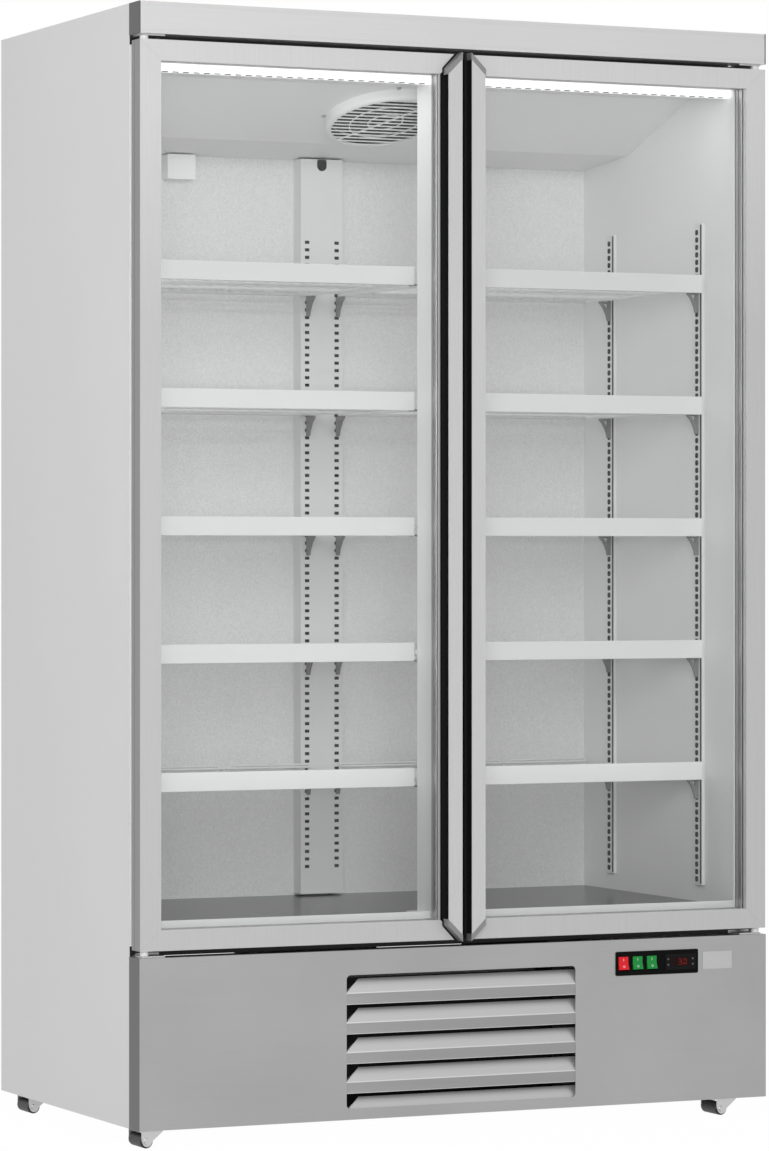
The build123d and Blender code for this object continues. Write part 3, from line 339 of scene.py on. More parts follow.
def guardPaint():
    # white guard; its ring's inside and the motor behind it stay dark
    guard = {"place": (-0.0030, 1.8560), "normal": (-0.3253, -0.9456), "above": -0.0008,
             "reach": 0.1036, "rise": 0.0155, "tone": 246, "darkTone": 60}
    material = powderCoat("guardPaint", guard["tone"], roughness=0.42)
    calc = partial(maths, material)
    x, y, z = parts(material)
    fromY = calc("SUBTRACT", y, guard["place"][0])
    fromZ = calc("SUBTRACT", z, guard["place"][1])
    outward = calc("ADD", calc("MULTIPLY", fromY, guard["normal"][0]),
                   calc("MULTIPLY", fromZ, guard["normal"][1]))
    total = calc("MULTIPLY", x, x)
    for part, sign in ((fromY, "ADD"), (fromZ, "ADD"), (outward, "SUBTRACT")):
        total = calc(sign, total, calc("MULTIPLY", part, part))
    inside = calc("MULTIPLY", calc("LESS_THAN", total, guard["reach"] ** 2),
                  calc("LESS_THAN", outward, guard["rise"]))
    dark = calc("MAXIMUM", inside, calc("LESS_THAN", outward, guard["above"]))
    feed(material, "Base Color", blendColor(material, dark, paintOf(material), grey(guard["darkTone"])))
    return material


def doorAluminium():
    # satin profile with its corner seams, a dark line of painted shade in a groove along its outer side,
    # painted shade on its outer sides and a black grip side
    seam = {"halfHeight": 0.795, "outerX": 0.6238, "innerX": 0.004, "slope": 0.9125, "width": 0.0005,
            "corner": 0.0366, "grooveY": -0.3105, "groove": 0.0008, "sideDepth": 0.0002,
            "cornerShare": 0.14, "grooveShare": 0.75, "tone": 40}
    grip = {"x": 0.0405, "depth": 0.0085, "cutX": 0.0163, "cutSlope": 1.07, "tone": 4}
    tone = {"front": 205, "grain": 201, "side": 136}
    material = newMaterial("doorAluminium", grey(tone["front"]), roughness=0.42, metallic=0.35)
    calc = partial(maths, material)
    x, y, z = parts(material)
    across = calc("ABSOLUTE", x)
    fromTop = calc("SUBTRACT", seam["halfHeight"], fromDoorMiddle(material, z))
    lines = []
    for edge, sign in ((seam["outerX"], -1.0), (seam["innerX"], 1.0)):
        inward = calc("MULTIPLY", calc("SUBTRACT", across, edge), sign)
        off = calc("ABSOLUTE", calc("SUBTRACT", fromTop, calc("MULTIPLY", inward, seam["slope"])))
        line = calc("LESS_THAN", off, seam["width"])
        lines.append(calc("MULTIPLY", line, calc("LESS_THAN", fromTop, seam["corner"])))
    # painted shade: a dark line where the groove runs along the outer side
    groove = calc("LESS_THAN", calc("ABSOLUTE", calc("SUBTRACT", y, seam["grooveY"])), seam["groove"])
    shadedOuterSide = calc("GREATER_THAN", across, seam["outerX"] - seam["sideDepth"])
    marks = calc("MULTIPLY", calc("MAXIMUM", *lines), seam["cornerShare"])
    marks = calc("MAXIMUM", marks, calc("MULTIPLY", groove, calc("MULTIPLY", shadedOuterSide, seam["grooveShare"])))
    grain = noiseOn(material, objectPoint(material, (700, 700, 12)), size=1.0, detail=3)
    satin = blendColor(material, spread(material, grain, 0.0, 1.0, fromLow=0.3, fromHigh=0.7),
                       grey(tone["front"]), grey(tone["grain"]))
    # the frames grow a little darker below the lit top
    falloff = shaded(material, satin, spread(material, z, low=0.84, high=1.0, fromLow=1.45, fromHigh=1.84))
    # painted shade: the outer sides, which turn away from the light, are painted darker
    satin = blendColor(material, shadedOuterSide, falloff, grey(tone["side"]))
    satin = blendColor(material, marks, satin, grey(seam["tone"]))
    cut = calc("MULTIPLY", calc("SUBTRACT", across, grip["cutX"]), grip["cutSlope"])
    onGrip = calc("MULTIPLY", calc("LESS_THAN", across, grip["x"]), calc("GREATER_THAN", fromTop, cut))
    onGrip = calc("MULTIPLY", onGrip, calc("LESS_THAN", y, cabinet["frontY"] + grip["depth"]))
    feed(material, "Base Color", blendColor(material, onGrip, satin, grey(grip["tone"])))
    setRoughness(material, grain, 0.38, 0.48)
    setBump(material, grain, strength=0.05)
    return material


def handleTrim():
    # face strip of light aluminium, with darker slanted caps at its ends
    trim = {"capEdge": 0.79375, "tone": 198, "grainTone": 192, "capTone": 134}
    material = newMaterial("handleTrim", grey(trim["tone"]), roughness=0.4, metallic=0.4)
    x, _, z = parts(material)
    slant = maths(material, "ADD", fromDoorMiddle(material, z), maths(material, "ABSOLUTE", x))
    onCap = maths(material, "GREATER_THAN", slant, trim["capEdge"])
    grain = noiseOn(material, objectPoint(material, (600, 600, 10)), size=1.0, detail=3)
    strip = blendColor(material, spread(material, grain, 0.0, 1.0, fromLow=0.3, fromHigh=0.7),
                       grey(trim["tone"]), grey(trim["grainTone"]))
    feed(material, "Base Color", blendColor(material, onCap, strip, grey(trim["capTone"])))
    setRoughness(material, grain, 0.36, 0.46)
    return material


def paneGlass():
    # clear thin glass: what is behind shows unbent, and the surface mirrors a little
    glass = {"shine": 0.3, "tint": (0.996, 0.998, 0.997), "roughness": 0.02, "index": 1.45}
    material = emptied(bpy.data.materials.new("paneGlass"))
    clear = add(material, "BsdfTransparent", Color=(*glass["tint"], 1))
    gloss = add(material, "BsdfGlossy", Roughness=glass["roughness"])
    edge = add(material, "Fresnel", IOR=glass["index"])
    share = maths(material, "MULTIPLY", edge.outputs[0], glass["shine"])
    showMixed(material, "Material", share, clear, gloss)
    return material


def glowing(name, color, strength, roughness=0.3):
    uneven = 0.05
    material = newMaterial(name, color, roughness)
    shader = shaderOf(material)
    shader.inputs["Emission Color"].default_value = (*color, 1)
    shader.inputs["Emission Strength"].default_value = strength
    shader.inputs["Specular IOR Level"].default_value = 0.2
    grain = noiseOn(material, objectPoint(material), size=300, detail=2)
    setRoughness(material, grain, roughness - uneven, roughness + uneven)
    return material


def finPack(name, tone, pitch):
    material = newMaterial(name, grey(tone), roughness=0.5, metallic=0.7)
    x, _, _ = parts(material)
    # painted shade: the colour darkens in stripes between the fins
    wave = maths(material, "PINGPONG", x, pitch / 2)
    shade = spread(material, wave, low=0.35, high=1.0, fromLow=0.0, fromHigh=pitch / 2)
    feed(material, "Base Color", shaded(material, grey(tone), shade))
    return material


look = {material.name: material for material in (
    powderCoat("cabinetPaint", tone=220),
    powderCoat("innerPaint", tone=250, roughness=0.42),
    powderCoat("coverPaint", tone=242, roughness=0.45),
    powderCoat("uprightSteel", tone=230, roughness=0.4),
    # painted light: the mullion is a lighter copy of the inner paint, lifting it out of the doors' shade
    powderCoat("mullionPaint", tone=254, roughness=0.42),
    powderCoat("bracketSteel", tone=136, roughness=0.45),
    shadeBeyond(powderCoat("facePaint", tone=250, roughness=0.42), reach=0.789, tone=6),
    linerSheet(),
    louvreSteel(),
    guardPaint(),
    floorSteel(tone=42),
    doorAluminium(),
    handleTrim(),
    paneGlass(),
    shelfWhite(),
    galvanised("galvanised", tone=170),
    brushedSteel("canopySteel", tone=207, roughness=0.42, cloudy=0.02, metal=0.5),
    brushedSteel("panelSteel", tone=168, roughness=0.4, cloudy=0.09, metal=0.85, sideTone=100),
    brushedSteel("spacerSteel", tone=176, roughness=0.35, along=(500, 500, 8)),
    brushedSteel("zincBright", tone=196, roughness=0.32, along=(60, 60, 60), metal=0.9),
    brushedSteel("plateGrey", tone=192, roughness=0.45, along=(200, 200, 200), cloudy=0.12, metal=0.3),
    brushedSteel("copperTube", tone=150, roughness=0.3, along=(80, 80, 80)),
    plainPlastic("handleBlack", grey(6), roughness=0.5),
    plainPlastic("greyPlasticAndShade", grey(84), roughness=0.5),
    plainPlastic("sealRubber", grey(120), roughness=0.6),
    plainPlastic("slotShade", grey(34), roughness=0.7),
    plainPlastic("whitePlastic", grey(232), roughness=0.35),
    plainPlastic("machineBlack", grey(30), roughness=0.35),
    plainPlastic("fanGrey", grey(64), roughness=0.5),
    plainPlastic("bezelBlack", grey(3), roughness=0.3, mirror=0.08),
    plainPlastic("displayBlack", grey(16), roughness=0.12, mirror=0.1),
    plainPlastic("keyMark", grey(225), roughness=0.4),
    plainPlastic("digitOff", (0.012, 0.003, 0.003), roughness=0.3, mirror=0.08),
    plainPlastic("foamCream", (0.78, 0.7, 0.48), roughness=0.9, grainSize=250),
    plainPlastic("rollerRubber", grey(22), roughness=0.5, grainSize=400),
    glowing("redKey", (0.62, 0.012, 0.02), strength=0.18),
    glowing("greenKey", (0.008, 0.22, 0.04), strength=0.14),
    glowing("digitRed", (0.28, 0.012, 0.01), strength=0.24),
    glowing("ledLens", (1.0, 1.0, 1.0), strength=0.8, roughness=0.4),
    finPack("evaporatorFins", tone=190, pitch=0.004),
    finPack("condenserFins", tone=48, pitch=0.003),
)}
print("materials made:", len(look))

nodeLooks = {
    "cabinetPaint": ["side_panel_left", "side_panel_right", "top_panel"],
    "innerPaint": ["sensor_box"],
    "mullionPaint": ["mullion"],
    "facePaint": ["face_frame"],
    "guardPaint": ["fan_guard"],
    "coverPaint": ["evaporator_cover"],
    "linerSheet": ["liner_walls"],
    "uprightSteel": ["shelf_uprights"],
    "canopySteel": ["canopy"],
    # painted shade: the canopy's end caps are painted dark grey, standing in for its stainless flanks in
    # shadow; the lamp clips and display keys really are this grey
    "greyPlasticAndShade": ["canopy_end_caps"],
    "panelSteel": ["lower_panel"],
    "louvreSteel": ["louvre_slats"],
    "floorSteel": ["floor_pan"],
    "doorAluminium": ["left_frame", "right_frame"],
    "handleTrim": ["left_handle_trim", "right_handle_trim"],
    "handleBlack": ["left_handle", "right_handle", "electrical_box"],
    "sealRubber": ["left_gasket", "right_gasket"],
    "paneGlass": ["left_glazing", "right_glazing"],
    "whitePlastic": ["left_hinge_bushes", "right_hinge_bushes", "lamp_bars"],
    "fanGrey": ["evaporator_fan"],
    "bezelBlack": ["control_bezel"],
    "displayBlack": ["thermostat"],
    "redKey": ["power_rocker"],
    "greenKey": ["fan_rocker", "light_rocker"],
    "plateGrey": ["rating_plate"],
    "bracketSteel": ["shelf_brackets"],
    "shelfWhite": [f"shelf_level_{level}" for level in range(1, 6)],
    "galvanised": ["back_panel", "base_tray", "rear_grille", "condenser_shroud", "drain_pan"],
    "zincBright": ["guard_screws", "hinge_brackets", "caster_brackets"],
    "machineBlack": ["compressor", "cooling_fan"],
    "copperTube": ["refrigerant_pipes"],
    "evaporatorFins": ["evaporator_coil"],
    "condenserFins": ["condenser_coil"],
    "foamCream": ["foam_slabs"],
    "rollerRubber": ["roller_front_left", "roller_front_right", "roller_rear_left", "roller_rear_right"],
}
for lookName, names in nodeLooks.items():
    for nodeName in names:
        for place in nodes[nodeName].material_slots:
            place.material = look[lookName]
bare = sorted(set(nodes) - {n for names in nodeLooks.values() for n in names})
print("nodes without a finish:", bare)


# Helpers for meshes
def addBox(bm, low, high):
    xs, ys, zs = zip(low, high)
    corners = [bm.verts.new((x, y, z)) for z in zs for y in ys for x in xs]
    for ring in ((0, 2, 3, 1), (4, 5, 7, 6), (0, 1, 5, 4), (1, 3, 7, 5), (3, 2, 6, 7), (2, 0, 4, 6)):
        bm.faces.new([corners[i] for i in ring])


def addRod(bm, start, end, radius, sides=8):
    start, end = Vector(start), Vector(end)
    line = end - start
    turn = line.to_track_quat("Z", "Y").to_matrix().to_4x4()
    bmesh.ops.create_cone(bm, cap_ends=True, segments=sides, radius1=radius, radius2=radius,
                          depth=line.length, matrix=Matrix.Translation((start + end) / 2) @ turn)


def addPrism(bm, outline, axis, low, high):
    # outline is a list of two coordinates, for the two other axes in order
    rings = []
    for level in (low, high):
        ring = []
        for a, b in outline:
            place = {"X": (level, a, b), "Y": (a, level, b), "Z": (a, b, level)}[axis]
            ring.append(bm.verts.new(place))
        rings.append(ring)
    count = len(outline)
    bm.faces.new(rings[0])
    bm.faces.new(list(reversed(rings[1])))
    for i in range(count):
        j = (i + 1) % count
        bm.faces.new([rings[0][i], rings[1][i], rings[1][j], rings[0][j]])


def bridge(bm, first, second):
    # faces between two rings of as many corners
    for i in range(len(first)):
        j = (i + 1) % len(first)
        bm.faces.new([first[i], first[j], second[j], second[i]])


def addFrame(bm, rings):
    # an outer and an inner ring at the front, and the same two at the back
    for a, b in ((0, 1), (1, 3), (3, 2), (2, 0)):
        bridge(bm, rings[a], rings[b])


def roundedOutline(width, height, radius, steps):
    points = []
    for cx, cy, start in ((1, 1, 0), (-1, 1, 90), (-1, -1, 180), (1, -1, 270)):
        for i in range(steps + 1):
            angle = math.radians(start + 90 * i / steps)
            points.append((cx * (width / 2 - radius) + radius * math.cos(angle),
                           cy * (height / 2 - radius) + radius * math.sin(angle)))
    return points


def toObject(bm, name, material, smooth=35):
    bmesh.ops.recalc_face_normals(bm, faces=bm.faces)
    mesh = bpy.data.meshes.new(name)
    bm.to_mesh(mesh)
    bm.free()
    mesh.materials.append(material)
    if smooth:
        mesh.shade_smooth()
        mesh.set_sharp_from_angle(angle=math.radians(smooth))
    piece = bpy.data.objects.new(name, mesh)
    scene.collection.objects.link(piece)
    return piece


def softEdges(piece, width, segments=2, fromAngle=40):
    bevel = piece.modifiers.new("softEdges", "BEVEL")
    bevel.width = width
    bevel.segments = segments
    bevel.limit_method = "ANGLE"
    bevel.angle_limit = math.radians(fromAngle)


def settle(piece, body, slotName, *replaced):
    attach(piece, body)
    if replaced:
        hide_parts(*replaced)


# Geometry Nodes that repeat one shape in a row, or in rows of rows
def repeatTree(material):
    tree = bpy.data.node_groups.new("repeat_" + material.name, "GeometryNodeTree")
    tree.is_modifier = True
    sockets = tree.interface
    sockets.new_socket("Geometry", in_out="INPUT", socket_type="NodeSocketGeometry")
    for label, kind in (("Count", "NodeSocketInt"), ("Step", "NodeSocketVector"),
                        ("Rows", "NodeSocketInt"), ("Row Step", "NodeSocketVector")):
        sockets.new_socket(label, in_out="INPUT", socket_type=kind)
    sockets.new_socket("Geometry", in_out="OUTPUT", socket_type="NodeSocketGeometry")
    make = tree.nodes.new
    link = tree.links.new
    start = make("NodeGroupInput")
    shape = start.outputs["Geometry"]
    for count, step in (("Count", "Step"), ("Rows", "Row Step")):
        line = make("GeometryNodeMeshLine")
        line.mode = "OFFSET"
        link(start.outputs[count], line.inputs["Count"])
        link(start.outputs[step], line.inputs["Offset"])
        copies = make("GeometryNodeInstanceOnPoints")
        link(line.outputs["Mesh"], copies.inputs["Points"])
        link(shape, copies.inputs["Instance"])
        shape = copies.outputs["Instances"]
    real = make("GeometryNodeRealizeInstances")
    paint = make("GeometryNodeSetMaterial")
    paint.inputs["Material"].default_value = material
    end = make("NodeGroupOutput")
    link(shape, real.inputs["Geometry"])
    link(real.outputs["Geometry"], paint.inputs["Geometry"])
    link(paint.outputs["Geometry"], end.inputs["Geometry"])
    return tree


def bake(piece):
    depsgraph = bpy.context.evaluated_depsgraph_get()
    mesh = bpy.data.meshes.new_from_object(piece.evaluated_get(depsgraph), depsgraph=depsgraph)
    piece.modifiers.clear()
    piece.data = mesh
    return piece


def repeat(piece, material, count, step, rows=1, rowStep=(0, 0, 0)):
    modifier = piece.modifiers.new("repeat", "NODES")
    modifier.node_group = repeatTree(material)
    values = {"Count": count, "Step": step, "Rows": rows, "Row Step": rowStep}
    for item in modifier.node_group.interface.items_tree:
        if item.in_out == "INPUT" and item.name in values:
            value = values[item.name]
            modifier[item.identifier] = value if isinstance(value, int) else [float(v) for v in value]
    return bake(piece)


def joined(name, pieces):
    bm = bmesh.new()
    for piece in pieces:
        bm.from_mesh(piece.data)
    mesh = bpy.data.meshes.new(name)
    bm.to_mesh(mesh)
    bm.free()
    for material in pieces[0].data.materials:
        mesh.materials.append(material)
    whole = bpy.data.objects.new(name, mesh)
    scene.collection.objects.link(whole)
    for piece in pieces:
        bpy.data.objects.remove(piece)
    return whole


# Door glass: two panes and the spacer between them
glassUnit = {
    "x": (0.034, 0.5938), "bottom": 0.37, "top": 1.908, "paneInset": 0.0005,
    "outerY": -0.3245, "pane": 0.004, "space": 0.012, "slack": 0.0001,
    "spacer": 0.011, "paneEdge": 0.0006, "spacerEdge": 0.0008,
}


def glazeDoor(side):
    g = glassUnit
    sign = -1 if side == "left" else 1
    x0, x1 = sorted(sign * x for x in g["x"])
    y0 = g["outerY"]
    bm = bmesh.new()
    for y in (y0, y0 + g["pane"] + g["space"]):
        addBox(bm, (x0, y, g["bottom"] + g["paneInset"]), (x1, y + g["pane"], g["top"] - g["paneInset"]))
    panes = toObject(bm, side + "Panes", look["paneGlass"], 0)
    softEdges(panes, g["paneEdge"], 1)
    settle(panes, side + "_door", "double_glass", side + "_glazing")
    bm = bmesh.new()
    y0 += g["pane"] + g["slack"]
    y1 = y0 + g["space"] - 2 * g["slack"]
    z0, z1, s = g["bottom"], g["top"], g["spacer"]
    outer = [(x0, z0), (x1, z0), (x1, z1), (x0, z1)]
    inner = [(x0 + s, z0 + s), (x1 - s, z0 + s), (x1 - s, z1 - s), (x0 + s, z1 - s)]
    addFrame(bm, [[bm.verts.new((x, y, z)) for x, z in ring] for y in (y0, y1) for ring in (outer, inner)])
    spacer = toObject(bm, side + "Spacer", look["spacerSteel"], 0)
    softEdges(spacer, g["spacerEdge"])
    settle(spacer, side + "_door", "frame_aluminium", side + "_glazing")


for side in ("left", "right"):
    glazeDoor(side)
print("doors glazed")


# Shelves: white front strip, wire deck and rear rail
shelf = {
    "lowest": 0.646, "pitch": 0.22875, "levels": 5,
    "frontY": -0.1805, "depth": 0.452, "thick": 0.003,
    "sideX": 0.577, "stripEndX": 0.021, "frontEndX": 0.016, "deckX": (0.029, 0.565),
    "strip": 0.034, "lip": 0.010, "footLip": 0.006, "sheet": 0.0025, "stripEdge": 0.0009,
    "deckDrop": 0.022, "wire": 0.002, "rim": 0.003, "rimSides": 10, "wires": 22, "crossRims": 2,
    "railDrop": 0.012, "lowerRail": 0.017, "railInset": 0.004,
    "notchFromEnd": 0.177, "notchHalf": 0.015,
}


def shelfStrip(side, top):
    # a strip folded back at its top and its foot
    s = shelf
    y, t, foot = s["frontY"], s["sheet"], top - s["strip"]
    outline = [(y, top), (y, foot), (y + s["footLip"], foot), (y + s["footLip"], foot + t),
               (y + t, foot + t), (y + t, top - t), (y + s["lip"], top - t), (y + s["lip"], top)]
    xs = sorted((side * s["sideX"], side * s["stripEndX"]))
    bm = bmesh.new()
    addPrism(bm, outline, "X", *xs)
    strip = toObject(bm, "strip", look["shelfWhite"])
    softEdges(strip, s["stripEdge"])
    return bake(strip)


def shelfRims(side, top):
    s = shelf
    inner, outer = s["deckX"]
    rim, sides = s["rim"], s["rimSides"]
    rimZ = top - s["deckDrop"] - 2 * s["wire"] - rim
    front = s["frontY"] + s["thick"] + rim
    rear = s["frontY"] + s["depth"] - rim
    bm = bmesh.new()
    for y, end in ((front, s["frontEndX"]), (rear, inner)):
        addRod(bm, (side * outer, y, rimZ), (side * end, y, rimZ), rim, sides)
    for x in (outer - rim, inner + rim):
        addRod(bm, (side * x, front + rim, rimZ), (side * x, rear - rim, rimZ), rim, sides)
    for index in range(s["crossRims"]):
        y = front + (index + 1) * (rear - front) / (s["crossRims"] + 1)
        addRod(bm, (side * (outer - 2 * rim), y, rimZ), (side * (inner + 2 * rim), y, rimZ), rim, sides)
    # one bent wire stands on the rear rim and dips twice
    foot = rimZ + s["rim"]
    high = top - s["railDrop"]
    first, last = outer - s["railInset"], inner + s["railInset"]
    path = [(first, foot), (first, high)]
    for middle in (first - s["notchFromEnd"], last + s["notchFromEnd"]):
        path += [(middle + s["notchHalf"], high), (middle, foot + s["wire"]), (middle - s["notchHalf"], high)]
    path += [(last, high), (last, foot)]
    points = [(side * x, rear, z) for x, z in path]
    for a, b in zip(points, points[1:]):
        addRod(bm, a, b, s["wire"])
    for point in points[1:-1]:
        bmesh.ops.create_uvsphere(bm, u_segments=8, v_segments=6, radius=s["wire"],
                                  matrix=Matrix.Translation(point))
    y = rear - 2 * s["wire"]
    addRod(bm, (side * (first + s["wire"]), y, top - s["lowerRail"]),
           (side * (last - s["wire"]), y, top - s["lowerRail"]), s["wire"])
    return toObject(bm, "rims", look["shelfWhite"])


def makeShelf(level):
    s = shelf
    top = s["lowest"] + level * s["pitch"]
    wireZ = top - s["deckDrop"] - s["wire"]
    rear = s["frontY"] + s["depth"] - s["rim"]
    strips, decks = [], []
    for side in (-1, 1):
        strips.append(shelfStrip(side, top))
        inner, outer = s["deckX"]
        x = side * (outer - s["wire"])
        bm = bmesh.new()
        addRod(bm, (x, s["frontY"] + s["sheet"], wireZ), (x, rear - s["wire"], wireZ), s["wire"])
        wire = toObject(bm, "wire", look["shelfWhite"])
        gap = (outer - inner - 2 * s["wire"]) / s["wires"]
        decks.append(repeat(wire, look["shelfWhite"], s["wires"] + 1, (-side * gap, 0, 0)))
        decks.append(shelfRims(side, top))
    node = f"shelf_level_{level + 1}"
    settle(joined(f"shelfStrips{level + 1}", strips), "cabinet", "white_wire", node)
    settle(joined(f"shelfWires{level + 1}", decks), "cabinet", "white_wire", node)


for level in range(shelf["levels"]):
    makeShelf(level)
print("shelves made")


# Slots in the back column and in the wall uprights: dark plates that stand a hair proud of the steel, painted
# as the shade in the holes
slots = {
    "proud": 0.0003, "sunk": 0.0006,
    "column": {"x": 0.031, "width": 0.009, "height": 0.006, "round": 0.0006, "pitch": 0.0144,
               "bottom": 0.438, "top": 1.639, "faceY": 0.2805},
    "upright": {"width": 0.0115, "height": 0.0100, "round": 0.0035, "pitch": 0.014,
                "bottom": 0.424, "top": 1.650, "faceX": 0.578, "middles": (-0.1625, 0.1925),
                "offset": 0.0055, "groove": (-0.0130, -0.0077), "grooveEnds": (0.008, 0.006)},
    "hole": {"width": 0.020, "height": 0.026, "round": 0.0098, "z": 1.7835, "flatTop": 1.7925},
}


def slotCount(run):
    return int((run["top"] - run["bottom"]) / run["pitch"]) + 1


def columnSlots():
    c = slots["column"]
    bm = bmesh.new()
    ys = (c["faceY"] - slots["proud"], c["faceY"] + slots["sunk"])
    outline = [(-c["x"] + a, c["bottom"] + b)
               for a, b in roundedOutline(c["width"], c["height"], c["round"], 2)]
    addPrism(bm, outline, "Y", *ys)
    slot = toObject(bm, "columnSlots", look["slotShade"], 0)
    repeat(slot, look["slotShade"], slotCount(c), (0, 0, c["pitch"]), 2, (2 * c["x"], 0, 0))
    settle(slot, "cabinet", "dark_plastic")
    # painted shade: a dark plate for the hole near the column's top
    h = slots["hole"]
    bm = bmesh.new()
    outline = [(a, min(h["z"] + b, h["flatTop"]))
               for a, b in roundedOutline(h["width"], h["height"], h["round"], 6)]
    addPrism(bm, outline, "Y", *ys)
    hole = toObject(bm, "columnHole", look["slotShade"], 0)
    settle(hole, "cabinet", "dark_plastic")


def uprightSlots():
    u = slots["upright"]
    near, far = u["groove"]
    below, above = u["grooveEnds"]
    pieces = []
    grooves = bmesh.new()
    for side in (-1, 1):
        low, high = sorted((side * (u["faceX"] - slots["proud"]), side * (u["faceX"] + slots["sunk"])))
        for middle in u["middles"]:
            bm = bmesh.new()
            outline = [(middle + u["offset"] + a, u["bottom"] + b)
                       for a, b in roundedOutline(u["width"], u["height"], u["round"], 3)]
            addPrism(bm, outline, "X", low, high)
            slot = toObject(bm, "slot", look["slotShade"], 0)
            pieces.append(repeat(slot, look["slotShade"], slotCount(u), (0, 0, u["pitch"])))
            # painted shade: a dark strip for the groove beside each row of slots
            addBox(grooves, (low, middle + near, u["bottom"] - below), (high, middle + far, u["top"] + above))
    settle(joined("uprightSlots", pieces), "cabinet", "dark_plastic")
    settle(toObject(grooves, "uprightGrooves", look["slotShade"], 0), "cabinet", "dark_plastic")


columnSlots()
uprightSlots()
print("slots cut")


# Lamps: a bright lens with clips along both of its edges
lamp = {
    "x": (0.0345, 0.580), "y": (-0.2805, -0.2605), "z": (1.885, 1.905),
    "round": 0.005, "clip": 0.011, "clipPitch": 0.020, "clipThick": 0.0013, "clipWide": 0.0045,
    "endGap": 0.002, "inset": 0.0005, "upperY": -0.0006, "lowerY": 0.0012,
}


def makeLamps():
    m = lamp
    lenses, clips = [], []
    for side in (-1, 1):
        x0, x1 = sorted((side * m["x"][0], side * m["x"][1]))
        y0, y1 = m["y"]
        z0, z1 = m["z"]
        r = m["round"]
        outline = [(y1, z0), (y1, z1), (y0, z1)]
        for i in range(6):
            angle = math.radians(180 + 90 * i / 5)
            outline.append((y0 + r + r * math.cos(angle), z0 + r + r * math.sin(angle)))
        bm = bmesh.new()
        addPrism(bm, outline, "X", x0, x1)
        lenses.append(toObject(bm, "lens", look["ledLens"]))
        for z, y in ((z1 - m["inset"], y0 + m["upperY"]), (z0 + m["inset"], y0 + m["lowerY"])):
            start = x0 + m["endGap"]
            bm = bmesh.new()
            addBox(bm, (start, y, z - m["clipThick"]), (start + m["clip"], y + m["clipWide"], z))
            clip = toObject(bm, "clip", look["greyPlasticAndShade"], 0)
            count = int((x1 - x0 - m["endGap"]) / m["clipPitch"])
            clips.append(repeat(clip, look["greyPlasticAndShade"], count, (m["clipPitch"], 0, 0)))
    settle(joined("lampLenses", lenses), "cabinet", "white_plastic", "lamp_bars")
    settle(joined("lampClips", clips), "cabinet", "end_cap_grey")


makeLamps()
print("lamps made")


# Louvre slats with rounded folds, and the plates at their ends
louvre = {
    "halfX": 0.2355, "openX": 0.2285, "top": 0.288, "pitch": 0.0527, "count": 5, "foot": 0.041,
    "face": 0.0204, "gap": 0.009, "depth": 0.014, "sheet": 0.0015, "startY": -0.3353,
    "endSheet": 0.0015, "taper": 0.030, "fold": 0.0006,
}


def louvreSlat(low, edge, upper):
    # a face, a fold and a slope whose left end is cut back at its rear edge
    v = louvre
    y, t, depth = v["startY"], v["sheet"], v["depth"]
    left, right = -v["halfX"], v["halfX"]
    opening, cut = -v["openX"], -v["openX"] + v["taper"]
    profile = [((y, low), left), ((y + t, low), left), ((y + t, edge - t), left),
               ((y + depth, upper), cut), ((y + depth, upper + t), cut), ((y, edge), opening)]
    bm = bmesh.new()
    ends = [[bm.verts.new((x, a, b)) for (a, b), x in profile],
            [bm.verts.new((right, a, b)) for (a, b), _ in profile]]
    bridge(bm, *ends)
    for ring, order in ((ends[0], 1), (ends[1], -1)):
        for quad in ((0, 1, 2, 5), (2, 3, 4, 5)):
            bm.faces.new([ring[i] for i in quad][::order])
    slat = toObject(bm, "louvreSlats", look["louvreSteel"])
    softEdges(slat, v["fold"])
    return bake(slat)


def makeLouvre():
    v = louvre
    low = v["top"] - v["count"] * v["pitch"]
    slat = louvreSlat(low + v["pitch"], low + v["pitch"] + v["face"], low + 2 * v["pitch"] - v["gap"])
    repeat(slat, look["louvreSteel"], v["count"] - 1, (0, 0, v["pitch"]))
    lowest = louvreSlat(v["foot"], low + v["face"], low + v["pitch"] - v["gap"])
    bm = bmesh.new()
    y = v["startY"]
    for side in (-1, 1):
        xs = sorted((side * v["halfX"], side * (v["halfX"] + v["endSheet"])))
        addBox(bm, (xs[0], y, v["foot"]), (xs[1], y + v["depth"], v["top"]))
    ends = toObject(bm, "ends", look["louvreSteel"], 0)
    settle(joined("louvreSlats", [slat, lowest, ends]), "cabinet", "front_steel", "louvre_slats")


makeLouvre()
print("louvre made")


# Thermostat face and rocker marks
display = {
    "x": 0.444, "z": 0.288, "faceY": -0.339, "sunk": 0.0006,
    "reading": "3.0", "digit": (0.0062, 0.0105), "stroke": 0.0011, "barInset": 0.0002,
    "start": 0.004, "gap": 0.0042, "pointBack": 0.0022, "litRise": 0.0003, "litSunk": 0.0002,
    "window": (0.040, 0.0165), "windowRound": 0.0015, "windowRise": 0.0001,
    "key": 0.0032, "keyRound": 0.0008, "keyRise": 0.0004, "keyX": 0.0255, "keyZ": 0.005,
}
digitBars = {"0": "abcdef", "3": "abgcd"}


